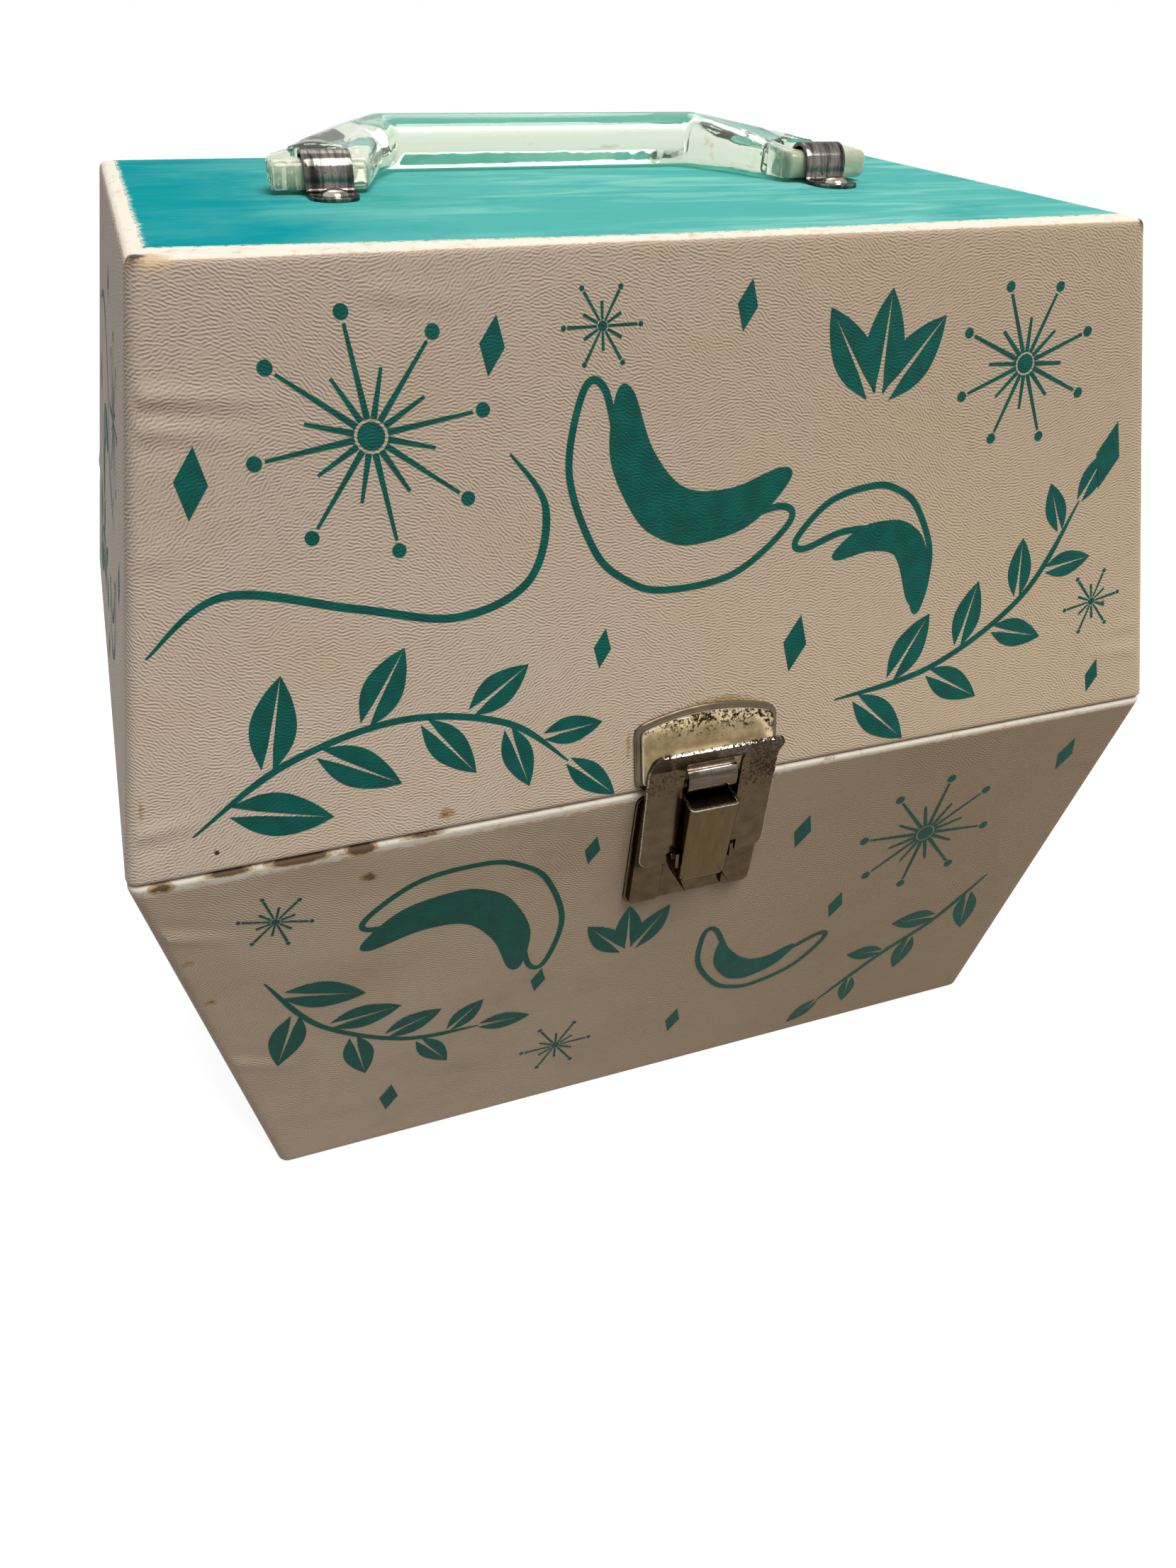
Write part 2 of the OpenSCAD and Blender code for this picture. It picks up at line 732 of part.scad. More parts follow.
// A strap over the bar, with two round-ended feet riveted to the lid
module clip(side) {
    inner = bar_half() + run_gap;
    outer = inner + clip_t;
    color(nickel) translate([side * clip_span / 2, handle_y, top_z]) {
        along_x(clip_w) difference() {
            union() {
                translate([0, axis_up]) circle(outer);
                translate([-outer, 0]) square([2 * outer, axis_up]);
            }
            translate([0, axis_up]) circle(inner);
            translate([-inner, -cut]) square([2 * inner, axis_up + cut]);
            translate([-2 * outer, -2 * outer]) square([4 * outer, 2 * outer]);
        }
        for (turn = [0, 180]) rotate(turn) difference() {
            linear_extrude(clip_t) {
                translate([-clip_w / 2, inner]) square([clip_w, foot_len + clip_t - clip_w / 2]);
                translate([0, outer + foot_len - clip_w / 2]) circle(clip_w / 2);
            }
            translate([0, clip_rivet_y, -cut]) cylinder(r = rivet_r + hole_gap, h = clip_t + 2 * cut);
        }
    }
}

module left_clip() { clip(-1); }
module right_clip() { clip(1); }

module clip_rivets() {
    color(nickel) at_clip_rivets()
        rivet(rivet_r, rivet_head_r, rivet_head_h, clip_t, -wall_t - washer_t);
}

module clip_washers() {
    color(nickel) at_clip_rivets() translate([0, 0, -wall_t - washer_t]) difference() {
        cylinder(r = washer_r, h = washer_t);
        translate([0, 0, -cut]) cylinder(r = rivet_r + hole_gap, h = washer_t + 2 * cut);
    }
}

// Section of the grip: thick where the fingers hold it, thin at its outer edge
module grip_section() {
    hull() {
        translate([grip_reach, 0]) circle(grip_r, $fn = 32);
        translate([grip_reach + grip_depth, 0]) circle(grip_edge_r, $fn = 32);
    }
}

// Rounded square bar that turns in a clip
module bar_section() {
    flat = bar_t - 2 * bar_round;
    square([bar_t, flat], center = true);
    square([flat, bar_t], center = true);
    for (y = [-flat / 2, flat / 2], z = [-flat / 2, flat / 2]) translate([y, z]) circle(bar_round);
}

// Slot in a lug that takes the clip's foot
module clip_slot() {
    slot_r = slot_w / 2;
    translate([clip_span / 2, 0, -bar_t]) {
        translate([-slot_r, -bar_t, 0]) cube([slot_w, slot_reach - slot_r + bar_t, 2 * bar_t]);
        translate([0, slot_reach - slot_r, 0]) cylinder(r = slot_r, h = 2 * bar_t);
    }
}

// Place along the handle of the slanting edge from a lug's corner to the end of the grip's outer edge
function slant_x(y) = let (
        corner = handle_len / 2,
        grip_end = grip_len / 2 + grip_edge_len,
        part = (y - lug_side) / (grip_reach + grip_depth - lug_side)
    ) corner + (grip_end - corner) * part;

// Flat end of the handle, with the bar that turns in the clip
module lug() {
    difference() {
        translate([0, 0, -bar_t / 2]) linear_extrude(bar_t) polygon([
            [lug_in, 0], [handle_len / 2, 0], [handle_len / 2, lug_side],
            [slant_x(lug_reach), lug_reach], [lug_in, lug_reach]
        ]);
        clip_slot();
    }
    translate([lug_in + lug_w / 2, 0, 0]) along_x(lug_w) bar_section();
}

// Thin web from a lug to the end of the grip
module lug_web() {
    hull() {
        translate([grip_len / 2, grip_reach, 0]) sphere(grip_r, $fn = 24);
        translate([grip_len / 2 + grip_edge_len / 2, grip_reach + grip_depth, 0])
            along_x(grip_edge_len) circle(grip_edge_r, $fn = 24);
        translate([0, 0, -bar_t / 2]) linear_extrude(bar_t) polygon([
            [lug_in, slot_reach], [slant_x(slot_reach), slot_reach],
            [slant_x(lug_reach), lug_reach], [lug_in, lug_reach]
        ]);
    }
}

// Round arm from the bar, beside the clip, over a bend to the grip
module arm() {
    root = clip_span / 2 - slot_w / 2 - lug_in;
    hull() {
        translate([lug_in + root / 2, 0, 0]) along_x(root) bar_section();
        translate([lug_in - bend_in, bend_reach, 0]) sphere(arm_r, $fn = 24);
    }
    hull() {
        translate([lug_in - bend_in, bend_reach, 0]) sphere(arm_r, $fn = 24);
        translate([grip_len / 2, grip_reach, 0]) sphere(grip_r, $fn = 24);
    }
}

module handle() {
    color(clear_plastic) translate([0, handle_y, top_z + axis_up]) rotate([rest_angle, 0, 0]) {
        along_x(grip_len) grip_section();
        for (side = [0, 1]) mirror([side, 0, 0]) {
            lug();
            lug_web();
            arm();
        }
    }
}

base_bottom_board();
base_front_board();
base_back_board();
base_left_board();
base_right_board();
base_cover();
bottom_sheet();
base_lining();
collar_front();
collar_left();
collar_right();
latch_base_plate();
latch_housing();
latch_pin();
latch_spring();
latch_rivets();
left_hinge_base_leaf();
right_hinge_base_leaf();
left_hinge_pin();
right_hinge_pin();
base_hinge_rivets();
lid_top_board();
lid_front_board();
lid_back_board();
lid_left_board();
lid_right_board();
lid_cover();
top_sheet();
lid_lining();
strike_plate();
left_clip();
right_clip();
clip_rivets();
clip_washers();
left_hinge_lid_leaf();
right_hinge_lid_leaf();
lid_hinge_rivets();
latch_lever();
handle();
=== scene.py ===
import math
import random

import bmesh
import bpy
from mathutils import Matrix, Vector


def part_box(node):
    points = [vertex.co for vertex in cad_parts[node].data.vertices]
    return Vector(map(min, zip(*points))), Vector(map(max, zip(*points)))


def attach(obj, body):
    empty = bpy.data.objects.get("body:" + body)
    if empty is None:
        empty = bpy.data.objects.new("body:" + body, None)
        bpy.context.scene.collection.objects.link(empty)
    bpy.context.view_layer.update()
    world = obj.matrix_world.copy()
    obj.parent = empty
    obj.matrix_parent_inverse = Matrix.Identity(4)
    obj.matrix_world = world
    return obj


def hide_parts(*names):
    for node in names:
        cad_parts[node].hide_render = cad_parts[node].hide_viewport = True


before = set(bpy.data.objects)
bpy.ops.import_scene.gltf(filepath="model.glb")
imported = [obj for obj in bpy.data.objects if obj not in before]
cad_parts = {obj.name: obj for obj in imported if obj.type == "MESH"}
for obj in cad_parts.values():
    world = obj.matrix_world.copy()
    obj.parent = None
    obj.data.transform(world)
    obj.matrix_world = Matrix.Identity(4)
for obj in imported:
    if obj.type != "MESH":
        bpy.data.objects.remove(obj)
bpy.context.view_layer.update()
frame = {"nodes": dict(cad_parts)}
nodes = frame["nodes"]
scene = bpy.context.scene
scene.view_settings.view_transform = "Standard"
MM = 0.001

# Sizes of the case in millimetres: bare border round the end sheets, paper, wall and board
BORDER = 2.0
COVER_T = 0.4
WALL_T = 3.7
BOARD_INSET = 0.5
SHEET_T = 0.12
# Print: height above the wall, and the heights above that which its shapes take by turns
PRINT_LIFT = 0.06
PRINT_STEP = 0.012
PRINT_LEVELS = 7
# Radii of the upright corners (outside, and the least further in), the rims and the edges of the closed ends
CORNER_R = 2.4
LEAST_R = 0.3
RIM_R = 1.1
END_R = 1.3
# Height of the strike plate above the seam, and the radius that its soiling follows
STRIKE_HIGH = 17.2
SOILING_R = 48.5


# Meshes

# Smallest angle, in degrees, that shades as an edge and that a bevel rounds
SHARP_ANGLE = 35
# Quads across a bent strip
STRIP_COLUMNS = 8


class Build:
    """Vertices and faces of one piece, in millimetres until they are placed."""

    def __init__(self):
        self.verts = []
        self.faces = []

    def add(self, shape, place=lambda p: p * MM):
        verts, faces = shape
        start = len(self.verts)
        self.verts += [place(Vector(v)) for v in verts]
        self.faces += [[start + i for i in face] for face in faces]
        return self


def add_object(name, data):
    made = bpy.data.objects.new(name, data)
    scene.collection.objects.link(made)
    return made


def make_piece(name, shape, body, material, replaced=()):
    """Adds a mesh piece that rides on a body and stands for the CAD nodes that it replaces."""
    verts, faces = (shape.verts, shape.faces) if isinstance(shape, Build) else shape
    mesh = bpy.data.meshes.new(name)
    mesh.from_pydata(verts, [], faces)
    mesh.materials.append(material)
    turn_normals_out(mesh)
    mesh.shade_smooth()
    mesh.set_sharp_from_angle(angle=math.radians(SHARP_ANGLE))
    piece = add_object(name, mesh)
    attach(piece, body)
    if replaced:
        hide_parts(*replaced)
    return piece


def turn_normals_out(mesh):
    work = bmesh.new()
    work.from_mesh(mesh)
    bmesh.ops.recalc_face_normals(work, faces=work.faces)
    work.to_mesh(mesh)
    work.free()


def thicken(piece, thickness):
    """Gives a sheet its thickness, on the side away from its normals."""
    solid = piece.modifiers.new("thickness", "SOLIDIFY")
    solid.thickness = thickness * MM
    solid.offset = -1.0
    solid.use_even_offset = True


def bevel(piece, width, angle=SHARP_ANGLE):
    edge = piece.modifiers.new("bevel", "BEVEL")
    edge.width = width * MM
    edge.segments = 2
    edge.limit_method = "ANGLE"
    edge.angle_limit = math.radians(angle)


def grid_faces(rows, columns, closed=False):
    """Quads of a grid of points, row after row. A closed grid joins its last column to its first."""
    faces = []
    for row in range(rows - 1):
        low, high = row * columns, (row + 1) * columns
        for c in range(columns if closed else columns - 1):
            ahead = (c + 1) % columns
            faces.append([low + c, low + ahead, high + ahead, high + c])
    return faces


def bell(x, centre, width):
    """Smooth bump: 1 at the centre, and about a third at one width from it."""
    return math.exp(-(((x - centre) / width) ** 2))


def corner_cut(radius, along):
    """How far a round corner draws an edge in, at a distance along it from its end."""
    return radius - math.sqrt(max(radius ** 2 - (radius - along) ** 2, 0.0)) if along < radius else 0.0


def arc(cx, cy, r, start, end, steps):
    """Points of an arc from one angle to another, in degrees."""
    angles = [math.radians(start + (end - start) * i / steps) for i in range(steps + 1)]
    return [(cx + r * math.cos(a), cy + r * math.sin(a)) for a in angles]


def stack(outline, levels):
    """Solid with an outline that is drawn in by an inset at each level (inset, height)."""
    n = len(outline)
    normals = []
    for i in range(n):
        ahead = Vector(outline[(i + 1) % n]) - Vector(outline[i - 1])
        normals.append(Vector((-ahead.y, ahead.x)).normalized())
    verts = []
    for inset, height in levels:
        verts += [(p[0] + m.x * inset, p[1] + m.y * inset, height) for p, m in zip(outline, normals)]
    faces = grid_faces(len(levels), n, closed=True)
    faces.append([(len(levels) - 1) * n + i for i in range(n)])
    faces.append(list(reversed(range(n))))
    return verts, faces


def rounded_outline(x0, y0, x1, y1, r, steps=6):
    """Anticlockwise outline of a rectangle with round corners."""
    points = arc(x1 - r, y0 + r, r, -90, 0, steps) + arc(x1 - r, y1 - r, r, 0, 90, steps)
    return points + arc(x0 + r, y1 - r, r, 90, 180, steps) + arc(x0 + r, y0 + r, r, 180, 270, steps)


def revolve(profile):
    """Solid turned about z from a profile of (radius, height) that starts and ends on the axis."""
    count = 32
    verts = [(0, 0, profile[0][1])]
    for radius, height in profile[1:-1]:
        turns = [2 * math.pi * i / count for i in range(count)]
        verts += [(radius * math.cos(a), radius * math.sin(a), height) for a in turns]
    verts.append((0, 0, profile[-1][1]))
    rows = len(profile) - 2
    faces = [[1 + i for i in face] for face in grid_faces(rows, count, closed=True)]
    end = len(verts) - 1
    faces += [[0, 1 + (i + 1) % count, 1 + i] for i in range(count)]
    faces += [[end, end - count + i, end - count + (i + 1) % count] for i in range(count)]
    return verts, faces


def strip(path, half_width):
    """Bent strip across X along a path of (y, z). half_width gives its half width at each point."""
    verts = []
    for i, (y, z) in enumerate(path):
        verts += [(half_width(i) * (2 * c / STRIP_COLUMNS - 1), y, z) for c in range(STRIP_COLUMNS + 1)]
    return verts, grid_faces(len(path), STRIP_COLUMNS + 1)


# The two halves of the case

class Half:
    """One half: the rim is at height 0 and the closed end at the full height, in millimetres."""

    def __init__(self, name, cover, sheet, up):
        lo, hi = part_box(cover)
        sheet_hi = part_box(sheet)[1]
        self.name = name
        self.up = up
        self.rim = (lo.z if up > 0 else hi.z) / MM
        self.height = (hi.z - lo.z) / MM
        self.seam = (hi.x / MM, hi.y / MM)
        self.end = (sheet_hi.x / MM + BORDER, sheet_hi.y / MM + BORDER)
        self.lean = [math.atan((s - e) / self.height) for s, e in zip(self.seam, self.end)]

    def size(self, h):
        """Half width and half depth of the outside at a height."""
        part = h / self.height
        return [s + (e - s) * part for s, e in zip(self.seam, self.end)]

    def place(self, x, y, h):
        return Vector((x, y, self.rim + self.up * h)) * MM

    def on_wall(self, side, u, v, out=0.0):
        """Point on a wall: u from its middle to the right, v up it from the rim, out in front of it."""
        axis = 0 if side in ("left", "right") else 1
        lean = self.lean[axis]
        h = v * math.cos(lean) + out * math.sin(lean)
        reach = self.seam[axis] - v * math.sin(lean) + out * math.cos(lean)
        x, y = {"front": (u, -reach), "right": (reach, u), "back": (-u, reach), "left": (-reach, -u)}[side]
        return self.place(x, y, h)

    def unrolled(self, side, u, v):
        """Place on the unrolled walls, measured from the middle of the front."""
        w, d = self.size(v * math.cos(self.lean[1]))
        turn = w + d + (math.pi / 2 - 2) * CORNER_R
        start = {"front": 0, "right": turn, "left": -turn, "back": 2 * turn}[side]
        return start + u

    def ring(self, h, inset, radius, counts=(58, 5, 78, 5, 116, 5, 78, 5, 58)):
        """Points (x, y, outward x, outward y, side, u, distance) round the walls, and their whole length.

        They start at the middle of the back. Corners have the side "corner".
        """
        w, d = [value - inset for value in self.size(h)]
        a, b = w - radius, d - radius
        out = {"back": (0, 1), "left": (-1, 0), "front": (0, -1), "right": (1, 0)}
        runs = [("back", (0, d), (-a, d)), (-a, b, 90), ("left", (-w, b), (-w, -b)), (-a, -b, 180),
                ("front", (-a, -d), (a, -d)), (a, -b, 270), ("right", (w, -b), (w, b)), (a, b, 0),
                ("back", (a, d), (0, d))]
        points = []
        length = 0.0
        for run, count in zip(runs, counts):
            if isinstance(run[0], str):
                side, start, end = run
                span = math.dist(start, end)
                for i in range(count):
                    x = start[0] + (end[0] - start[0]) * i / count
                    y = start[1] + (end[1] - start[1]) * i / count
                    u = {"front": x, "right": y, "back": -x, "left": -y}[side]
                    points.append((x, y, *out[side], side, u, length + span * i / count))
            else:
                cx, cy, turn = run
                span = math.pi / 2 * radius
                for i in range(count):
                    angle = math.radians(turn + 90 * i / count)
                    nx, ny = math.cos(angle), math.sin(angle)
                    x, y = cx + radius * nx, cy + radius * ny
                    points.append((x, y, nx, ny, "corner", 0, length + span * i / count))
            length += span
        return points, length


LID = Half("lid", "lid_cover", "top_sheet", 1)
BASE = Half("base", "base_cover", "bottom_sheet", -1)

# Small folds in the paper near the walls' edges: end of the fold (u, v), direction, length, rise
FOLDS = {
    (LID, "front"): [
        ((-99, 84), -6, 24, 0.75), ((-98, 79), -10, 15, 0.5), ((-111, 10), 4, 13, 0.5),
        ((112, 12.5), 176, 17, 0.45), ((112, 19), 184, 11, 0.3), ((-103, 58), 10, 10, 0.2),
        ((-58, 97), -8, 16, 0.22),
    ],
    (BASE, "front"): [((-112, 14), 20, 17, 0.5), ((-104, 58), 26, 16, 0.4), ((112, 17), 172, 12, 0.4)],
    (LID, "left"): [((-76, 30), 6, 16, 0.35)],
    (LID, "right"): [((-77, 22), 8, 13, 0.35), ((60, 70), 184, 12, 0.3)],
    (LID, "back"): [((-109, 18), 5, 13, 0.35)],
    (BASE, "left"): [((74, 18), 170, 12, 0.35)],
    (BASE, "right"): [((-77, 22), 12, 12, 0.35)],
    (BASE, "back"): [((109, 20), 176, 12, 0.35)],
}
FOLD_W = 1.5

# Stains: centre (u, v), radius along u and v, strength
STAINS = {
    (LID, "front"): [
        ((-55.3, 3.4), (1.9, 1.7), 0.75), ((-109.7, 14.5), (1.5, 5.0), 0.5), ((50.5, 45), (3.4, 3.4), 0.42),
        ((55, 50), (2.4, 2.4), 0.36), ((-34, 91.8), (1.0, 1.0), 0.6), ((-17, 33), (4.0, 4.0), 0.28),
        # (-17.4, 11) is a darker upright band along the strike plate's left edge
        ((-17.4, 11), (1.2, 6.0), 0.5), ((84, 70), (8.0, 8.0), 0.2),
    ],
    (BASE, "front"): [
        ((-71.4, 8.6), (2.1, 1.7), 0.85), ((-84, 0.4), (7.0, 1.1), 1.0), ((-72.4, 0.6), (3.4, 1.8), 1.0),
        ((-97, 0.3), (5.0, 0.9), 0.9), ((-107.6, 23.1), (1.2, 1.4), 0.9), ((-105.2, 36.3), (1.4, 1.5), 0.8),
        ((-60, 0.3), (6.0, 0.7), 0.7), ((-109, 1.0), (3.0, 1.6), 0.8), ((40, 60), (8.0, 8.0), 0.2),
        # (-16.4, 14) is a darker upright band along the latch plate's left edge
        ((30, 0.5), (3.0, 0.8), 0.5), ((84, 0.5), (4.0, 0.9), 0.4), ((-16.4, 14), (1.4, 9.0), 0.5),
    ],
    (LID, "left"): [((30, 60), (9.0, 9.0), 0.3), ((-20, 30), (7.0, 7.0), 0.25)],
    (LID, "right"): [((20, 20), (6.0, 6.0), 0.3)],
    (LID, "back"): [((-30, 70), (8.0, 8.0), 0.25)],
    (BASE, "left"): [((10, 50), (9.0, 9.0), 0.3)],
    (BASE, "back"): [((50, 40), (9.0, 9.0), 0.25)],
}


def fold_rise(half, side, u, v):
    """Height of the folds: a soft ridge with a shallow hollow under it."""
    rise = 0.0
    for (fu, fv), turn, length, height in FOLDS.get((half, side), ()):
        if abs(v - fv) < 12 and abs(u - fu) < 30:
            angle = math.radians(turn)
            along = (u - fu) * math.cos(angle) + (v - fv) * math.sin(angle)
            across = (v - fv) * math.cos(angle) - (u - fu) * math.sin(angle)
            if -4 < along < length:
                fade = min(1.0, (along + 4) / 3) * max(0.0, 1 - along / length)
                rise += height * fade * (bell(across, 0, FOLD_W) - 0.45 * bell(across, -2.6, 2.0))
    return rise


def strike_soiling(u, v):
    """Brown soiling along the domed top of the strike plate, stronger to the right."""
    above = v - (STRIKE_HIGH - u * u / (2 * SOILING_R))
    if above < -2 or above > 5 or abs(u) > 19:
        return 0.0
    reach = 1.9 + 0.6 * bell(u, 4, 6)
    strength = (0.38 + 0.12 * bell(u, 5, 6)) * min(1.0, max(0.0, (16.5 - abs(u)) / 3))
    return strength * bell(max(above, 0), 0, reach)


def stain_at(half, side, u, v):
    """How dark the stains are at a place on a wall, from 0 to 1."""
    amount = strike_soiling(u, v) if half is LID and side == "front" else 0.0
    for (su, sv), (ru, rv), strength in STAINS.get((half, side), ()):
        far = ((u - su) / ru) ** 2 + ((v - sv) / rv) ** 2
        if far < 6:
            amount = max(amount, strength * math.exp(-far))
    return amount


def wear_at(half, x, h, inset):
    """How bare the paper is rubbed: all over the closed end, and near the edges of the walls."""
    if inset > END_R * 0.4 and h > half.height / 2:
        return 1.0
    from_end = half.height - SHEET_T - h
    if half is LID:
        return max(bell(from_end, 0, 0.75), 0.55 * math.exp(-(h + inset) / 1.2))
    reach = 3.3 - 1.2 * min(max((x + 60) / 90, 0), 1)
    return max(0.7 * math.exp(-from_end / 1.2), 1.05 * bell(h + inset, 0, reach))


def shell_rows(half):
    """Rows (height, inset) of the cover, from inside the rim to the middle of the closed end."""
    rows = [(COVER_T, WALL_T - 0.3), (0.05, WALL_T - 0.45), (0.0, WALL_T - 0.8), (0.0, (WALL_T + RIM_R) / 2)]
    rows += [(RIM_R - y, RIM_R - x) for x, y in arc(0, 0, RIM_R, 90, 0, 6)]
    flat = half.height - SHEET_T
    top = flat - END_R
    steps = 98
    rows += [(RIM_R + (top - RIM_R) * i / steps, 0.0) for i in range(1, steps)]
    rows += [(top + y, END_R - x) for x, y in arc(0, 0, END_R, 0, 90, 7)]
    return rows + [(flat, inset) for inset in (END_R + 1.2, END_R + 3, 8.5, 12.0)]


def make_cover(half, material, replaced):
    """Paper cover of a half, with its folds, and with wear and stains for its material."""
    rows = shell_rows(half)
    verts, unrolled, wear, stain = [], [], [], []
    for h, inset in rows:
        points, length = half.ring(h, inset, max(CORNER_R - inset, LEAST_R))
        v = h / math.cos(half.lean[1])
        distances = []
        for x, y, nx, ny, side, u, along in points:
            rise = fold_rise(half, side, u, v) if inset == 0 else 0.0
            verts.append(half.place(x + nx * rise, y + ny * rise, h))
            wear.append(wear_at(half, x, h, inset))
            stain.append(stain_at(half, side, u, v))
            distances.append(along - length / 2)
        drop = inset if h < 1 else -inset
        unrolled.append([(s, v - drop) for s in distances + [length / 2]])
    columns = len(points)
    faces = grid_faces(len(rows), columns, closed=True)
    faces.append([(len(rows) - 1) * columns + i for i in range(columns)])
    name = half.name + "_paper_cover"
    piece = make_piece(name, (verts, faces), half.name, material, replaced)
    set_wall_map(piece.data, lambda face, corner: corner_place(face, corner, columns, unrolled))
    set_points(piece.data, wear=wear, stain=stain)
    return piece


def corner_place(face, vertex, columns, unrolled):
    """Place of a face's corner, with the seam at the middle of the back given to the right end of the row."""
    row, column = divmod(vertex, columns)
    if column == 0 and any(v % columns == columns - 1 for v in face):
        column = columns
    return unrolled[row][column]


def set_wall_map(mesh, place):
    """Keeps each face corner's place on the unrolled walls, in millimetres, for the materials."""
    layer = mesh.attributes.new("wall", "FLOAT_VECTOR", "CORNER")
    values = []
    for polygon in mesh.polygons:
        face = list(polygon.vertices) if len(polygon.vertices) < 9 else []
        for vertex in polygon.vertices:
            values += [*place(face, vertex), 0.0]
    layer.data.foreach_set("vector", values)


def set_points(mesh, **layers):
    """Keeps named values, one for each vertex, for the materials."""
    for name, values in layers.items():
        layer = mesh.attributes.new(name, "FLOAT", "POINT")
        layer.data.foreach_set("value", values)


def make_boards(half, material, replaced):
    """The board walls and closed end, which the paper covers."""
    top = half.height - SHEET_T - BOARD_INSET
    inner = WALL_T - 0.35
    under = half.height - inner
    low, middle = 0.5, 20.0
    rows = [(low, inner), (low, BOARD_INSET), (top - 1.0, BOARD_INSET), (top, BOARD_INSET + 1.0),
            (top, middle)]
    rows += [(under, middle), (under, inner)]
    counts = (2, 3, 4, 3, 4, 3, 4, 3, 2)
    verts = []
    for h, inset in rows:
        points, length = half.ring(h, inset, max(CORNER_R - inset, LEAST_R), counts)
        verts += [half.place(x, y, h) for x, y, *rest in points]
    columns = sum(counts)
    faces = grid_faces(len(rows), columns, closed=True)
    last = (len(rows) - 1) * columns
    faces += [[last + c, last + (c + 1) % columns, (c + 1) % columns, c] for c in range(columns)]
    top_row, under_row = 4 * columns, 5 * columns
    faces = [f for f in faces if not (min(f) >= top_row and max(f) < under_row + columns)]
    faces.append([top_row + c for c in range(columns)])
    faces.append([under_row + c for c in reversed(range(columns))])
    return make_piece(half.name + "_boards", (verts, faces), half.name, material, replaced)


# Materials

class Value:
    """A node's output. Values add and multiply as numbers do, and each sum or product is a Math node."""

    def __init__(self, nodes, socket):
        self.nodes = nodes
        self.socket = socket

    def __add__(self, other):
        return self.nodes.math("ADD", self, other)

    def __sub__(self, other):
        return self.nodes.math("SUBTRACT", self, other)

    def __rsub__(self, other):
        return self.nodes.math("SUBTRACT", other, self)

    def __mul__(self, other):
        return self.nodes.math("MULTIPLY", self, other)


class Nodes:
    """Short way to write a node tree. An input is a number, a colour or another node's value."""

    def __init__(self, tree):
        self.tree = tree
        tree.nodes.clear()

    def put(self, socket, value):
        if isinstance(value, Value):
            self.tree.links.new(value.socket, socket)
        elif isinstance(value, tuple) and len(value) == 3 and len(socket.default_value) == 4:
            socket.default_value = (*value, 1.0)
        else:
            socket.default_value = value

    def node(self, kind, inputs=(), out=0, **settings):
        made = self.tree.nodes.new("ShaderNode" + kind)
        for key, value in settings.items():
            setattr(made, key, value)
        for key, value in dict(inputs).items():
            self.put(made.inputs[key], value)
        return Value(self, made.outputs[out]) if made.outputs else None

    def math(self, operation, a, b=0.0, clamp=False):
        return self.node("Math", {0: a, 1: b}, operation=operation, use_clamp=clamp)

    def mix(self, amount, a, b):
        return self.node("Mix", {0: amount, 6: a, 7: b}, out=2, data_type="RGBA")

    def step(self, value, low, high, to=(0.0, 1.0)):
        """Smooth step from to[0] at low to to[1] at high."""
        inputs = {0: value, 1: low, 2: high, 3: to[0], 4: to[1]}
        return self.node("MapRange", inputs, interpolation_type="SMOOTHSTEP")

    def noise(self, vector, scale, detail, roughness=0.5, distortion=0.0):
        inputs = {"Vector": vector, "Scale": scale, "Detail": detail, "Roughness": roughness}
        return self.node("TexNoise", {**inputs, "Distortion": distortion})

    def attribute(self, name, out=2):
        return self.node("Attribute", out=out, attribute_name=name)

    def stretch(self, vector, x, y, z):
        return self.node("Mapping", {"Vector": vector, "Scale": (x, y, z)})

    def part(self, vector, index):
        return self.node("SeparateXYZ", {0: vector}, out=index)

    def object_place(self):
        """Place in the part, in millimetres."""
        return self.stretch(self.node("TexCoord", out=3), 1000, 1000, 1000)


class Graph(Nodes):
    """Nodes of a material with one Principled shader. What is fixed is the same all over the surface."""

    def __init__(self, name, **fixed):
        self.material = bpy.data.materials.new(name)
        self.material.use_nodes = True
        super().__init__(self.material.node_tree)
        self.shader = self.tree.nodes.new("ShaderNodeBsdfPrincipled")
        self.node("OutputMaterial", {0: Value(self, self.shader.outputs[0])})
        for key, value in fixed.items():
            self.set(key.replace("_", " "), value)

    def set(self, name, value):
        self.put(self.shader.inputs[name], value)

    def bump(self, height, depth):
        self.set("Normal", self.node("Bump", {"Height": height, "Distance": depth * MM}))


def srgb(*levels):
    """Linear colour of an sRGB colour given from 0 to 255."""
    shares = [level / 255 for level in levels]
    return tuple(c / 12.92 if c <= 0.04045 else ((c + 0.055) / 1.055) ** 2.4 for c in shares)


def leather_relief(g, wall, depth, smooth):
    """Worm-like embossing, about 0.6 mm from ridge to ridge, that turns slowly from place to place."""
    drift = g.noise(g.stretch(wall, 0.025, 0.025, 0.025), 1.0, 2.0)
    turn = g.step(drift, 0.3, 0.7, (0.85, 2.2))
    inputs = {"Vector": wall, "Scale": 0.7, "Frequency": 2.3, "Anisotropy": 0.66, "Orientation": turn}
    ridges = g.step(g.node("TexGabor", inputs), 0.25, 0.75)
    height = ridges + g.noise(wall, 2.4, 2.0) * 0.3
    dents = g.noise(wall, 0.045, 3.0) * 3.0
    g.bump(height * g.step(smooth, 0.0, 1.0, (1.0, 0.25)) + dents, depth)
    return ridges


def near(g, place, centre, inner, outer):
    """1 within inner of a point in the part, in millimetres, fading to 0 at outer with a ragged edge."""
    far = g.node("VectorMath", {0: place, 1: centre}, out=1, operation="DISTANCE")
    rough = g.noise(place, 0.7, 5.0, 0.75) - 0.5
    return g.step(far + rough * (2.2 * (outer - inner)), inner, outer, (1.0, 0.0))


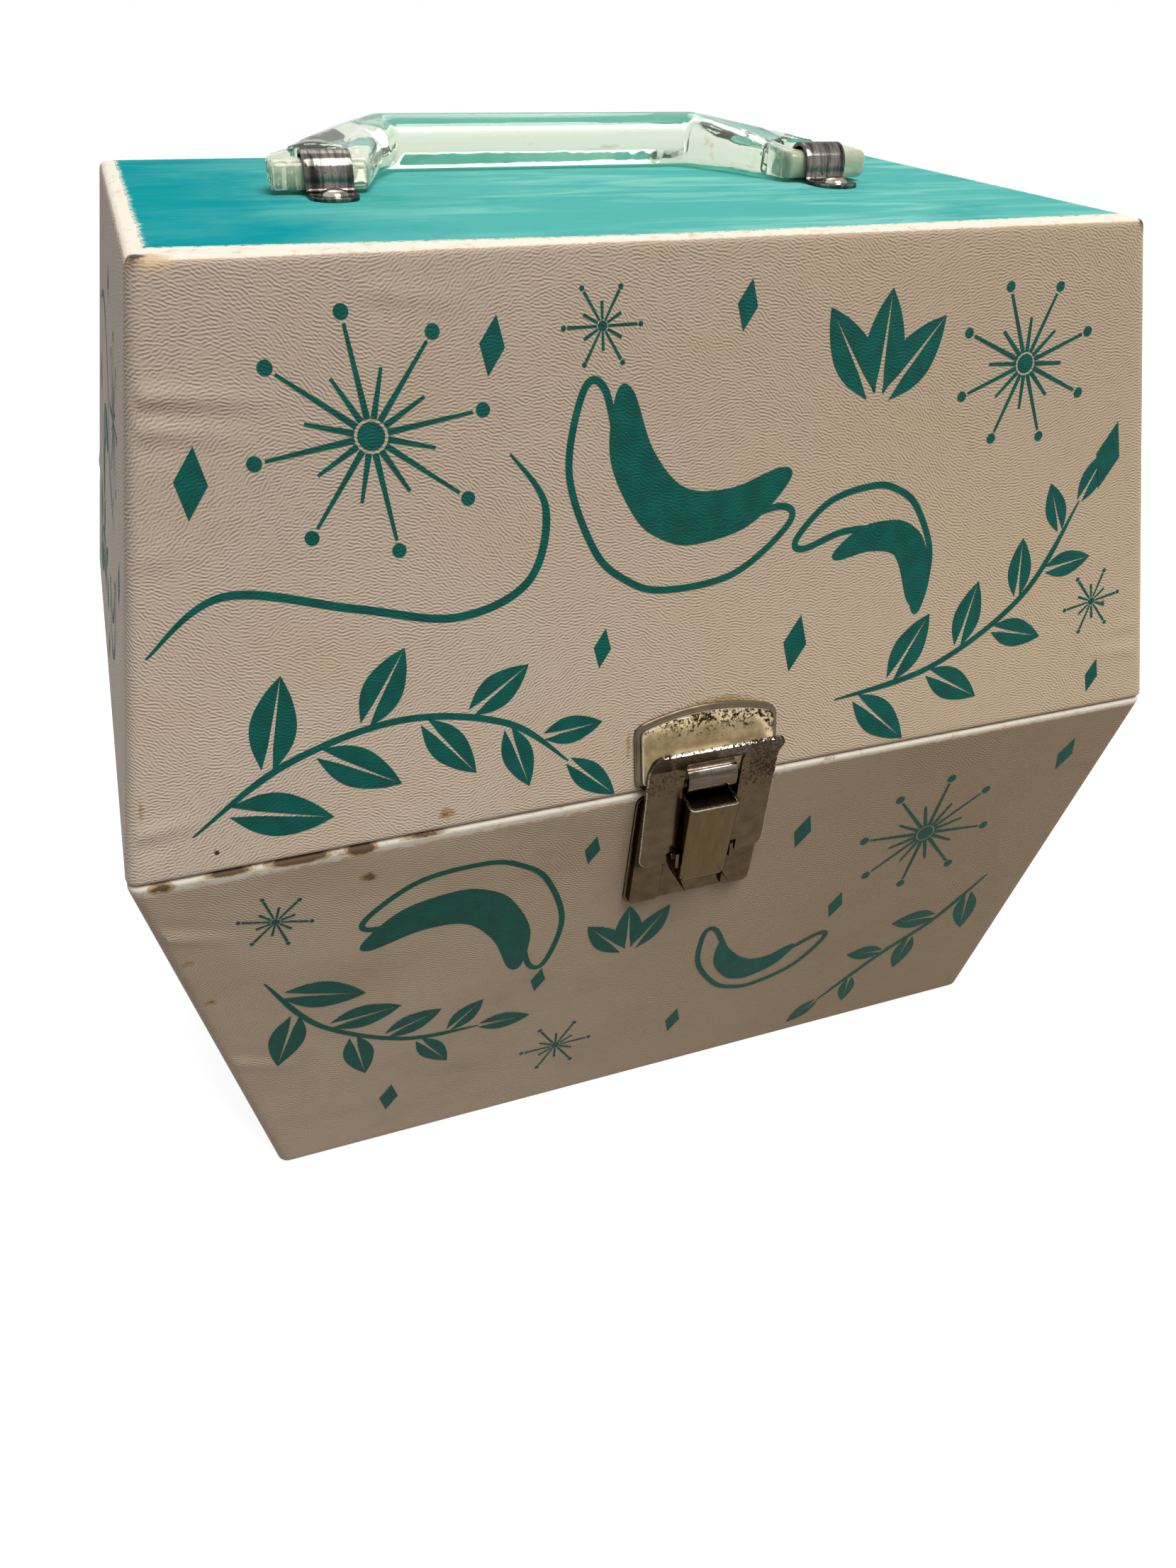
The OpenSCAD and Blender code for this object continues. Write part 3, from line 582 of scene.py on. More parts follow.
def leather(name, light, dark, depth, grime_and_shade, aged_by, top_shade=0.0, spots=()):
    """Embossed cream paper, rubbed bare at its edges.

    It yellows to the right by aged_by, and is darkened toward the lid's top by top_shade, a painted shade, both
    from 0 to 1.
    Spots are (centre, inner, outer, colour).
    """
    g = Graph(name, Specular_IOR_Level=0.3)
    wall = g.attribute("wall", out=1)
    place = g.object_place()
    rough_edge = g.noise(wall, 0.7, 5.0, 0.7)
    bare = g.step(g.attribute("wear") + rough_edge * 0.6, 0.8, 1.1)
    ridges = leather_relief(g, wall, depth, bare)
    soiling = g.noise(g.stretch(wall, 0.03, 0.045, 0.03), 1.0, 4.0, 0.6)
    blotch = g.noise(wall, 0.11, 4.0, 0.65)
    paper = g.mix(ridges * 0.6, dark, light)
    paper = g.mix(g.step(soiling, 0.42, 0.75, (0.0, 0.35)), paper, grime_and_shade)
    paper = g.mix(g.step(blotch, 0.58, 0.8, (0.0, 0.16)), paper, srgb(160, 128, 92))
    paper = g.mix(g.step(g.part(place, 0), -90.0, 90.0, (0.0, aged_by)), paper, grime_and_shade)
    if top_shade:
        # Painted shade: darker toward the lid's top, by height
        paper = g.mix(g.step(g.part(place, 2), 112.0, 196.0, (0.0, top_shade)), paper, srgb(138, 120, 107))
    colour = g.mix(bare * 0.85, paper, srgb(236, 230, 216))
    scuff = bare * g.step(g.noise(wall, 0.3, 4.0, 0.7), 0.52, 0.74, (0.0, 0.8))
    colour = g.mix(scuff, colour, srgb(196, 160, 112))
    rim = bare * (1.0 - bare) * 3.0
    colour = g.mix(rim * g.step(blotch, 0.4, 0.6), colour, srgb(190, 152, 104))
    spot = g.attribute("stain") + (rough_edge + g.noise(wall, 1.3, 5.0, 0.8)) * 0.4
    colour = g.mix(g.step(spot, 0.72, 0.88, (0.0, 0.85)), colour, srgb(164, 134, 90))
    colour = g.mix(g.step(spot, 0.92, 1.04, (0.0, 0.9)), colour, srgb(74, 54, 30))
    for centre, inner, outer, shade in spots:
        colour = g.mix(near(g, place, centre, inner, outer), colour, shade)
    g.set("Base Color", colour)
    g.set("Roughness", g.step(ridges, 0.0, 1.0, (0.72, 0.56)))
    return g.material


def printed_ink(name, ink, depth):
    """Ink on the same embossing, thin on some of the ridges."""
    g = Graph(name, Specular_IOR_Level=0.2)
    wall = g.attribute("wall", out=1)
    ridges = leather_relief(g, wall, depth, 0.0)
    deep = tuple(c * 0.7 for c in ink)
    colour = g.mix(g.step(g.noise(wall, 0.25, 2.0), 0.3, 0.7), ink, deep)
    worn = g.step(ridges, 0.8, 1.0) * g.step(g.noise(wall, 0.5, 3.0), 0.58, 0.75, (0.0, 0.2))
    g.set("Base Color", g.mix(worn, colour, srgb(120, 150, 132)))
    g.set("Roughness", g.step(ridges, 0.0, 1.0, (0.72, 0.58)))
    return g.material


def turquoise_paper():
    """Glossy sheet, deep blue-green at the left and paler to the right as a painted reflection, streaked and
    torn at its edges.
    """
    g = Graph("turquoise_paper", Specular_IOR_Level=0.0, Coat_Weight=0.02, Coat_Roughness=0.16)
    place = g.object_place()
    streak = g.noise(g.stretch(place, 0.02, 0.11, 0.1), 1.0, 4.0, 0.6, 0.6)
    cloud = g.noise(place, 0.03, 4.0, 0.65)
    fine = g.noise(g.stretch(place, 0.25, 1.3, 1.0), 1.0, 4.0, 0.6)
    across = g.part(place, 0) + (cloud - 0.5) * 120.0
    # Painted reflection: paler toward the middle and right
    colour = g.mix(g.step(across, -92.0, -30.0), srgb(0, 144, 152), srgb(82, 172, 167))
    # Streaks in the sheet, lightened toward the middle and right as a painted sheen
    light = g.step(streak, 0.45, 0.72) * g.step(across, -80.0, 0.0, (0.1, 0.8))
    colour = g.mix(light, colour, srgb(136, 203, 190))
    colour = g.mix(g.step(cloud, 0.52, 0.72, (0.0, 0.45)), colour, srgb(14, 146, 144))
    # Paler flecks, stronger to the right as a painted sheen
    faint = g.step(fine, 0.56, 0.8) * g.step(across, -90.0, -20.0, (0.05, 0.35))
    colour = g.mix(faint, colour, srgb(112, 202, 188))
    scratch = g.noise(g.stretch(place, 0.9, 3.2, 1.0), 1.0, 5.0, 0.75)
    bare = g.step(g.attribute("wear") + scratch * 0.5, 1.18, 1.26)
    fleck = g.step(g.noise(g.stretch(place, 0.5, 1.1, 1.0), 1.0, 5.0, 0.8), 0.72, 0.76, (0.0, 0.8))
    g.set("Base Color", g.mix(g.math("MAXIMUM", bare, fleck), colour, srgb(226, 230, 218)))
    g.set("Roughness", g.step(streak, 0.3, 0.8, (0.34, 0.5)))
    g.bump(g.noise(place, 0.12, 3.0) + fine * 0.05, 0.25)
    return g.material


def plain_paper(name, colour, spot, depth=0.05):
    """Paper or board with fibres, aged in patches."""
    g = Graph(name, Roughness=0.8, Specular_IOR_Level=0.3)
    place = g.object_place()
    fibre = g.noise(g.stretch(place, 0.6, 0.6, 0.9), 1.0, 5.0, 0.7)
    ageing = g.noise(place, 0.02, 4.0, 0.6)
    shade = g.mix(g.step(ageing, 0.4, 0.75, (0.0, 0.6)), colour, spot)
    g.set("Base Color", g.mix(g.step(fibre, 0.4, 0.7, (0.0, 0.3)), shade, spot))
    g.bump(fibre, depth)
    return g.material


def worn_nickel(name, light, dark, rust, streaks=(1.0, 1.0, 1.0), rough=(0.16, 0.28), metal=1.0,
                zone=None, depth=0.04):
    """Thin nickel plate gone brown, with specks of rust.

    The attribute rust adds specks, shine marks edges that are rubbed bright and painted highlights, and
    dull marks duller metal and painted shade. zone(g, place) gives two more amounts: specks and painted shade.
    """
    g = Graph(name, Specular_IOR_Level=0.15, Specular_Tint=(0.62, 0.6, 0.58))
    place = g.object_place()
    wide = g.noise(g.stretch(place, *streaks), 0.3, 4.0, 0.6)
    fine = g.noise(place, 2.2, 4.0, 0.7)
    speck = g.noise(place, 1.5, 4.0, 0.85)
    patch = g.noise(place, 0.16, 3.0)
    more_specks, grime_and_shade = zone(g, place) if zone else (0.0, 0.0)
    colour = g.mix(g.step(wide, 0.3, 0.72), dark, light)
    colour = g.mix(g.step(fine, 0.5, 0.8, (0.0, 0.35)), colour, dark)
    # Painted highlight, partly rubbed bright metal, where the attribute marks it
    rubbed_and_highlit = g.attribute("shine") * g.step(speck, 0.62, 0.5, (0.35, 1.0))
    colour = g.mix(rubbed_and_highlit, colour, srgb(196, 190, 178))
    # Painted shade, partly duller metal, where the attribute marks it
    colour = g.mix(g.attribute("dull"), colour, srgb(74, 66, 56))
    # Painted shade from the zone, such as on the base plate under the lever
    colour = g.mix(grime_and_shade, colour, srgb(30, 23, 16))
    more = g.attribute("rust") * 0.14 + g.step(patch, 0.52, 0.7, (0.0, 0.09)) + more_specks
    edge = 0.06 * rust
    pits = g.step(speck + more, 0.72 - edge, 0.75 - edge)
    g.set("Base Color", g.mix(pits, colour, srgb(50, 29, 15)))
    g.set("Metallic", g.step(pits, 0.0, 1.0, (1.0, 0.2)) * metal)
    g.set("Roughness", g.math("ADD", g.step(fine, 0.3, 0.7, rough), pits * 0.4, clamp=True))
    g.bump(fine * 0.25 - pits, depth)
    return g.material


def pan_zone(g, place):
    """Rust gathers in drifts along the strike plate's domed top, most of it to the right. Its rim is spared."""
    height = g.part(place, 2) + g.noise(place, 0.35, 3.0) * 6.0 + g.part(place, 0) * 0.05
    return g.step(height, 113.8, 119.5, (0.0, 0.18)) - g.attribute("dull"), 0.0


def lever_zone(g, place):
    """Fine rust on the lever's shoulders, most of it on the right one."""
    shoulder = g.step(g.part(place, 2) + g.noise(place, 0.3, 3.0) * 10.0, 100.0, 110.0)
    right = g.step(g.part(place, 0) + g.noise(place, 0.25, 2.0) * 6.0, 6.0, 14.0, (0.6, 1.0))
    return shoulder * right * 0.19, 0.0


def plate_shade_zone(g, place):
    """Painted shade on the base plate where the lever covers it."""
    above_foot = g.step(g.part(place, 2), 81.0, 82.6)
    between_edges = g.step(g.math("ABSOLUTE", g.part(place, 0)), 15.6, 14.6)
    return 0.0, above_foot * between_edges * 0.85


def clear_plastic():
    """Clear moulding, milky in its lugs, with brown stains and the brown mark of its gate at one end."""
    g = Graph("clear_plastic", IOR=1.47)
    place = g.object_place()
    along = g.math("ABSOLUTE", g.part(place, 0))
    milky = g.step(along, 44.0, 49.0) * g.step(g.part(place, 1), 9.0, 4.5)
    brown = g.step(g.noise(g.stretch(place, 0.09, 0.16, 0.2), 1.0, 4.0, 0.65), 0.6, 0.74, (0.0, 0.6))
    colour = g.mix(milky, srgb(226, 237, 218), srgb(206, 212, 184))
    colour = g.mix(brown, colour, srgb(176, 142, 96))
    mark = near(g, place, (-66.2, -1.9, 207.3), 0.3, 0.6)
    g.set("Base Color", g.mix(mark, colour, srgb(120, 92, 54)))
    g.set("Transmission Weight", g.step(milky, 0.0, 1.0, (0.96, 0.4)))
    g.set("Roughness", g.step(g.noise(place, 0.5, 3.0), 0.4, 0.8, (0.015, 0.07)))
    g.bump(g.noise(place, 0.14, 2.0), 0.1)
    return g.material


# Worn corners and small marks of the lid: centre, inner and outer radius, colour
LID_SPOTS = (
    ((-92.5, -59.6, 204.6), 1.2, 3.8, srgb(204, 178, 142)),
    ((-94.6, -59.4, 203.6), 0.5, 2.0, srgb(120, 90, 62)),
    ((-94.3, -58.4, 204.2), 0.9, 1.9, srgb(26, 16, 10)),
    ((95.8, -60.0, 203.4), 0.8, 2.2, srgb(70, 44, 26)),
    ((-98.4, -77.8, 106.4), 0.35, 0.6, srgb(44, 26, 18)),
    ((98.3, -74.1, 127.1), 0.35, 0.8, srgb(110, 80, 52)),
)
# Leatherette: name, light and dark colour, depth, colour of its grime, ageing, then painted shade toward the
# top and spots
LID_PAPER = leather("lid_leatherette", srgb(249, 233, 216), srgb(178, 160, 143), 0.09,
                    srgb(200, 176, 138), 0.5, 0.3, LID_SPOTS)
BASE_PAPER = leather("base_leatherette", srgb(222, 202, 179), srgb(184, 164, 142), 0.055,
                     srgb(146, 125, 97), 0.8)
LID_INK = printed_ink("lid_print", srgb(0, 88, 79), 0.07)
BASE_INK = printed_ink("base_print", srgb(0, 76, 65), 0.045)
TURQUOISE = turquoise_paper()
LINING = plain_paper("lining_paper", srgb(226, 218, 198), srgb(196, 180, 150))
BOTTOM = plain_paper("bottom_paper", srgb(206, 196, 174), srgb(150, 132, 104))
BOARD = plain_paper("board", srgb(150, 136, 112), srgb(122, 108, 86), 0.1)
# Each metal: name, light and dark colour, then its rust, streaks, roughness, metallic amount, zone and depth
NICKEL = worn_nickel("worn_nickel", srgb(78, 66, 50), srgb(66, 55, 41), 0.6, zone=lever_zone)
HOUSING_METAL = worn_nickel("housing_nickel", srgb(80, 67, 46), srgb(72, 59, 41), 0.0, (2.0, 1.0, 0.3))
PLATE_METAL = worn_nickel("plate_nickel", srgb(74, 61, 44), srgb(60, 49, 35), 0.2, zone=plate_shade_zone)
NOSE_METAL = worn_nickel("nose_nickel", srgb(90, 81, 69), srgb(54, 46, 37), 0.7, (0.4, 1.0, 3.0),
                         (0.06, 0.13))
PAN_METAL = worn_nickel("strike_nickel", srgb(238, 218, 174), srgb(190, 167, 122), 0.6, metal=0.4,
                        zone=pan_zone)
CLIP_METAL = worn_nickel("clip_nickel", srgb(136, 131, 124), srgb(48, 46, 43), 0.2, (3.0, 0.4, 0.3),
                         (0.08, 0.18))
RIVET_METAL = worn_nickel("rivet_nickel", srgb(190, 184, 174), srgb(120, 112, 102), 0.2, rough=(0.12, 0.2))
STEEL = worn_nickel("hinge_steel", srgb(128, 121, 110), srgb(104, 96, 85), 0.4, depth=0.012)
PLASTIC = clear_plastic()


# Print: shapes are drawn flat on a wall, as (u, v) in millimetres, and laid on it

class Print:
    """All the printed shapes on one wall."""

    def __init__(self, half, side):
        self.half = half
        self.side = side
        self.points = []
        self.lifts = []
        self.faces = []

    def add_points(self, points):
        """Shapes drawn one after another lie at different heights, so none share a plane where they cross."""
        self.points += points
        self.lifts += [PRINT_LIFT + PRINT_STEP * (len(self.faces) % PRINT_LEVELS)] * len(points)

    def fill(self, outline):
        start = len(self.points)
        self.add_points(outline)
        self.faces.append([start + i for i in range(len(outline))])

    def ribbon(self, line, widths):
        """Line with a width at each point, as a row of quads."""
        start = len(self.points)
        edges = []
        for i, p in enumerate(line):
            before, after = line[max(i - 1, 0)], line[min(i + 1, len(line) - 1)]
            length = math.dist(before, after)
            nx, ny = -(after[1] - before[1]) / length, (after[0] - before[0]) / length
            for reach in (widths[i] / 2, -widths[i] / 2):
                edges.append((p[0] + nx * reach, p[1] + ny * reach))
        self.add_points(edges)
        for i in range(len(line) - 1):
            k = start + 2 * i
            self.faces.append([k, k + 1, k + 3, k + 2])

    def finish(self, material):
        if not self.points:
            return None
        half, side = self.half, self.side
        verts = []
        for (u, v), lift in zip(self.points, self.lifts):
            out = lift + fold_rise(half, side, u, v)
            verts.append(half.on_wall(side, u, v, out))
        name = "%s_%s_print" % (half.name, side)
        piece = make_piece(name, (verts, self.faces), half.name, material)
        set_wall_map(piece.data, lambda face, i: (half.unrolled(side, *self.points[i]), self.points[i][1]))
        return piece


def curve(points, steps=12, closed=False):
    """Smooth line through the points."""
    n = len(points)
    made = []
    last = n if closed else n - 1
    for i in range(last):
        if closed:
            p = [points[(i + k) % n] for k in (-1, 0, 1, 2)]
        else:
            p = [points[min(max(i + k, 0), n - 1)] for k in (-1, 0, 1, 2)]
        for s in range(steps):
            t = s / steps
            made.append(tuple(
                0.5 * (2 * p[1][a] + (p[2][a] - p[0][a]) * t
                       + (2 * p[0][a] - 5 * p[1][a] + 4 * p[2][a] - p[3][a]) * t * t
                       + (3 * p[1][a] - p[0][a] - 3 * p[2][a] + p[3][a]) * t ** 3) for a in (0, 1)))
    if not closed:
        made.append(points[-1])
    return made


def turned(points, centre, turn, scale=1.0):
    """The points scaled and turned by degrees about the origin, then moved to the centre."""
    a = math.radians(turn)
    c, s = math.cos(a) * scale, math.sin(a) * scale
    return [(centre[0] + x * c - y * s, centre[1] + x * s + y * c) for x, y in points]


def line(sheet, points, width, closed=False):
    """Draws a smooth line, which is thin at both ends unless it is closed."""
    smooth = curve(points, closed=closed)
    if closed:
        smooth.append(smooth[0])
    n = len(smooth)
    widths = [width if closed else width * min(1.0, 0.25 + 4.0 * min(i, n - 1 - i) / n) for i in range(n)]
    sheet.ribbon(smooth, widths)
    return smooth


def burst(sheet, centre, size, rays, turn):
    """Star of thin spikes, long and short by turns, with a dot at the end of each long one."""
    for i in range(rays):
        long = i % 2 == 0
        reach = size if long else size * 0.62
        spike = [(size * 0.16, -size * 0.03), (reach, -0.28), (reach, 0.28), (size * 0.16, size * 0.03)]
        sheet.fill(turned(spike, centre, turn + 360 * i / rays))
        if long:
            dot = turned([(reach + size * 0.1, 0)], centre, turn + 360 * i / rays)[0]
            sheet.fill(arc(*dot, size * 0.07, 0, 345, 23))
    sheet.fill(arc(*centre, size * 0.13, 0, 350, 35))


def boomerang(sheet, centre, size, turn, outline=False):
    """Bent shape with round ends, filled or as an outline."""
    shape = [(-1.0, -0.42), (-0.86, -0.5), (-0.45, -0.12), (0.0, 0.06), (0.45, -0.12), (0.86, -0.5),
             (1.0, -0.42), (0.8, 0.12), (0.34, 0.5), (0.0, 0.58), (-0.34, 0.5), (-0.8, 0.12)]
    points = turned(shape, centre, turn, size)
    if outline:
        line(sheet, points, 1.3, closed=True)
    else:
        sheet.fill(curve(points, 8, closed=True))


def leaf(sheet, root, length, turn, width):
    """Pointed leaf in two halves with a bare vein between them. Its width is a share of its length."""
    upper = [(0.0, 0.02), (0.25, width * 0.8), (0.5, width), (0.78, width * 0.62), (1.0, 0.0)]
    gap = 0.035
    for sign in (1, -1):
        side = curve([(x, sign * (y + gap * (1 - x))) for x, y in upper], 6)
        vein = [(x, sign * gap * (1 - x)) for x in (0.8, 0.5, 0.25)]
        outline = side + vein
        sheet.fill(turned(outline if sign > 0 else outline[::-1], root, turn, length))


def sprig(sheet, points, count, length):
    """Curved stem with leaves on both sides by turns, smaller toward its tip, and one at the tip."""
    spread = 48
    stem = line(sheet, points, 1.3)
    for i in range(count):
        k = int((i + 1) / (count + 1) * (len(stem) - 2))
        here, ahead = stem[k], stem[k + 1]
        turn = math.degrees(math.atan2(ahead[1] - here[1], ahead[0] - here[0]))
        side = 1 if i % 2 else -1
        root = turned([(0.6, side * 0.9)], here, turn)[0]
        leaf(sheet, root, length * (1 - 0.4 * i / count), turn + side * spread, 0.21)
    end, before = stem[-1], stem[-3]
    leaf(sheet, end, length * 0.7, math.degrees(math.atan2(end[1] - before[1], end[0] - before[0])), 0.2)


def diamonds(sheet, turn, places):
    """Small diamonds at (x, y, half height)."""
    for x, y, height in places:
        width = height * 0.45
        sheet.fill(turned([(0, -height), (width, 0), (0, height), (-width, 0)], (x, y), turn))


def fan(sheet, centre, length, turns):
    """Leaves that spread from one point."""
    for turn in turns:
        leaf(sheet, turned([(length * 0.14, 0)], centre, turn)[0], length, turn, 0.2)


def print_lid_front():
    sheet = Print(LID, "front")
    burst(sheet, (-62, 75), 18, 16, 8)
    burst(sheet, (70, 78), 14, 16, 20)
    burst(sheet, (-20, 90), 6.5, 12, 0)
    burst(sheet, (95, 26), 6.5, 12, 10)
    boomerang(sheet, (-4, 62), 20, 152)
    boomerang(sheet, (-9, 57), 25, 146, outline=True)
    boomerang(sheet, (42, 42), 13, -35)
    boomerang(sheet, (38, 47), 17, -28, outline=True)
    sprig(sheet, [(-102, 8), (-84, 19), (-62, 24), (-42, 20), (-30, 10)], 8, 19)
    sprig(sheet, [(30, 13), (54, 17), (76, 30), (88, 49)], 8, 17)
    fan(sheet, (36, 72), 19, (48, 84, 120))
    line(sheet, [(-104, 42), (-90, 51), (-68, 46), (-50, 42), (-36, 47), (-32, 60), (-38, 70)], 1.5)
    diamonds(sheet, -12, [(-92, 70, 6), (-40, 88, 5), (20, 27, 6), (94, 58, 7), (8, 92, 4.5), (-22, 32, 4),
                          (98, 8, 4)])
    return sheet.finish(LID_INK)


def print_base_front():
    sheet = Print(BASE, "front")
    burst(sheet, (64, 32), 16, 16, 6)
    burst(sheet, (-28, 82), 8, 12, 0)
    burst(sheet, (-90, 16), 6.5, 12, 15)
    boomerang(sheet, (-52, 30), 20, 208)
    boomerang(sheet, (-47, 26), 24, 214, outline=True)
    boomerang(sheet, (22, 66), 12, 20)
    boomerang(sheet, (23, 65.4), 19, 20, outline=True)
    sprig(sheet, [(-94, 34), (-84, 52), (-66, 64), (-48, 66)], 7, 18)
    sprig(sheet, [(90, 54), (78, 68), (64, 78), (48, 92)], 5, 15)
    fan(sheet, (-12, 52), 15, (230, 266, 302))
    diamonds(sheet, 10, [(-70, 86, 5), (4, 84, 4.5), (28, 22, 5), (98, 14, 5), (44, 52, 4.5), (-24, 14, 4),
                         (-34, 54, 4)])
    return sheet.finish(BASE_INK)


def print_end_wall(half, side, ink):
    sheet = Print(half, side)
    flip = 1 if side == "left" else -1
    burst(sheet, (22 * flip, 68), 14, 16, 4)
    boomerang(sheet, (-22 * flip, 50), 15, 40 * flip)
    boomerang(sheet, (22 * flip, 28), 14, 200, outline=True)
    sprig(sheet, [(-56 * flip, 10), (-44 * flip, 22), (-26 * flip, 26), (-12 * flip, 22)], 6, 15)
    line(sheet, [(-50 * flip, 76), (-30 * flip, 80), (-8 * flip, 70), (2 * flip, 54), (24 * flip, 48)], 1.3)
    diamonds(sheet, 0, [(-46 * flip, 60, 5), (48 * flip, 46, 5), (2 * flip, 12, 4), (-4 * flip, 88, 4)])
    return sheet.finish(ink)


def print_back(half, ink):
    sheet = Print(half, "back")
    burst(sheet, (-58, 62), 17, 16, 4)
    burst(sheet, (72, 70), 11, 12, 12)
    boomerang(sheet, (16, 56), 20, 150)
    boomerang(sheet, (11, 51), 24, 144, outline=True)
    sprig(sheet, [(-96, 24), (-78, 34), (-58, 32), (-40, 24)], 6, 16)
    sprig(sheet, [(36, 26), (54, 30), (74, 38), (86, 52)], 6, 15)
    diamonds(sheet, 8, [(-90, 60, 6), (-26, 76, 5), (44, 74, 5), (92, 34, 5), (-12, 30, 4.5)])
    return sheet.finish(ink)


# Sheets on the closed ends

def crooked(x):
    """How far the turquoise sheet's front edge lies behind the lid's: furthest at the left corner."""
    return 1.0 + 5.5 * max(0.0, (-x - 5) / 90) ** 1.3 + 3.0 * max(0.0, (x - 5) / 90)


def frayed_rings(lo, hi, seed, ragged, levels, front):
    """Rings of a rectangular sheet whose torn outline is eaten in by ragged (front, right, back, left).

    Each bite grows out of the one before, so the tear wanders. Levels are (inset, height), and front(x) tells
    how far the front edge lies back.
    """
    spacing = 0.9
    dice = random.Random(seed)
    (x0, y0), (x1, y1) = lo, hi
    corners = [(x0, y0), (x1, y0), (x1, y1), (x0, y1)]
    clean, torn = [], []
    for k, depth in enumerate(ragged):
        start, end = corners[k], corners[(k + 1) % 4]
        length = math.dist(start, end)
        count = int(length / spacing)
        inward = (-(end[1] - start[1]) / length, (end[0] - start[0]) / length)
        bite = 0.0
        for i in range(count):
            bite = 0.72 * bite + dice.gauss(0, depth * 0.35)
            eaten = min(abs(bite), depth * 1.6) if i > 0 else 0.0
            x, y = [start[a] + (end[a] - start[a]) * i / count for a in (0, 1)]
            clean.append((x, y))
            torn.append((x + inward[0] * eaten, max(y + inward[1] * eaten, y0 + front(x))))
    middle = ((x0 + x1) / 2, (y0 + y1) / 2)
    verts = []
    for inset, height in levels:
        scale = [1 - 2 * inset / (b - a) for a, b in ((x0, x1), (y0, y1))]
        for edge, inner in zip(torn, clean):
            x, y = [m + (p - m) * k for p, m, k in zip(inner, middle, scale)]
            verts.append((*edge, height) if inset == 0 else (x, y, height))
    n = len(clean)
    faces = grid_faces(len(levels), n, closed=True)
    faces.append([(len(levels) - 1) * n + i for i in range(n)])
    faces.append(list(reversed(range(n))))
    return (verts, faces), n


def make_sheet(name, half, node, seed, ragged, material, front=lambda x: 0.0):
    """Paper sheet on a closed end, as large as the node that it replaces, with wear along its torn edge."""
    lo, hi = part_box(node)
    start = 2.5 + max(front(-95), front(95))
    levels = [(0.0, 0.0), (0.0, SHEET_T), (start, SHEET_T), (start + 2.4, SHEET_T)]
    shape, count = frayed_rings((lo.x / MM, lo.y / MM), (hi.x / MM, hi.y / MM), seed, ragged, levels, front)
    base = half.height - SHEET_T
    built = Build().add(shape, lambda p: half.place(p.x, p.y, base + p.z))
    piece = make_piece(name, built, half.name, material, (node,))
    wear = []
    for inset, height in levels:
        wear += [1.0 if inset == 0 else 0.0] * count
    set_points(piece.data, wear=wear)
    return piece


# Latch

def strike_outline():
    """Outline of the strike plate on the wall, with round corners and a domed top edge."""
    width, low, high, dome = 32.0, 0.4, STRIKE_HIGH, 2.7
    r, foot_r = 3.0, 2.6
    big = (width * width / 4 + dome * dome) / (2 * dome)
    centre = high - big
    spread = math.degrees(math.asin((width / 2 - r) / (big - r)))
    points = arc(width / 2 - foot_r, low + foot_r, foot_r, -90, 0, 4)
    side_y = centre + (big - r) * math.cos(math.radians(spread))
    points += arc(width / 2 - r, side_y, r, 0, 90 - spread, 8)
    points += arc(0, centre, big, 90 - spread, 90 + spread, 30)[1:-1]
    points += arc(-width / 2 + r, side_y, r, 90 + spread, 180, 8)
    return points + arc(-width / 2 + foot_r, low + foot_r, foot_r, 180, 270, 4)


def make_strike():
    """Strike plate with a raised field and a rolled rim round it, and two folded prongs through the wall."""
    levels = [(0, 0), (0, 0.5), (0.2, 0.7), (0.9, 0.7), (1.05, 0.8), (1.15, 1.15), (1.25, 1.5), (1.45, 1.72),
              (1.85, 1.8), (2.3, 1.8)]
    built = Build().add(stack(strike_outline(), levels), lambda p: LID.on_wall("front", *p))
    prong_x, low, high, half_sheet = 15.4, 10.0, 14.0, 0.35
    fold_end, deepest, folded = -4.15, -4.4, -3.75
    leg = stack(rounded_outline(-half_sheet, low, half_sheet, high, 0.1, 2), [(0, deepest), (0, 0.3)])
    fold = stack(rounded_outline(fold_end, low, half_sheet, high, 0.3, 2), [(0, deepest), (0, folded)])
    for sign in (-1, 1):
        for shape in (leg, fold):
            built.add(shape, lambda p: LID.on_wall("front", sign * (p.x + prong_x), p.y, p.z))
    piece = make_piece("strike_pan", built, "lid", PAN_METAL, ("strike_plate",))
    ring = len(strike_outline())
    # Painted highlight along the rolled rim; the flange is made duller and darker
    shine = [0.9 if 1.2 <= inset < 1.5 else 0.0 for inset, height in levels for i in range(ring)]
    dull = [0.9 if inset < 1.2 else 0.0 for inset, height in levels for i in range(ring)]
    rest = [0.0] * (len(piece.data.vertices) - len(shine))
    set_points(piece.data, shine=shine + rest, dull=dull + rest)
    return piece


def make_nose():
    """Tongue of the strike plate that shows through the lever's window, with a painted highlight along its
    roll.
    """
    root, front, top, roll = -76.8, -82.0, 5.4, 2.9
    corner, low, half = 1.1, -0.9, 5.5
    path = [(root, top), (root - 1.0, top)] + arc(front + roll, top - roll, roll, 90, 180, 14)
    tuck, drop = 1.5, top - roll - low
    path += [(front + tuck * (1 - math.cos(math.radians(a))), low + drop * (1 - math.sin(math.radians(a))))
             for a in range(9, 91, 9)]

    def width(i):
        return half - corner_cut(corner, path[i][1] - low)

    shape = strip(path, width)
    built = Build().add(shape, lambda p: LID.place(*p))
    piece = make_piece("strike_nose", built, "lid", NOSE_METAL)
    # Rust at the foot, a painted highlight along the roll, and painted shade below it and at the left edge
    across = [1.0 if c > 1 else 0.25 for c in range(STRIP_COLUMNS + 1)]
    rust = [max(0.0, 1 - (z - low) / 2.6) for y, z in path for k in across]
    shine = [0.35 * bell(z, 4.4, 0.5) * k for y, z in path for k in across]
    dull = [max(0.85 * bell(z, 1.0, 1.6), 0.9 - k) for y, z in path for k in across]
    set_points(piece.data, rust=rust, shine=shine, dull=dull)
    thicken(piece, 0.9)
    bevel(piece, 0.16)
    return piece


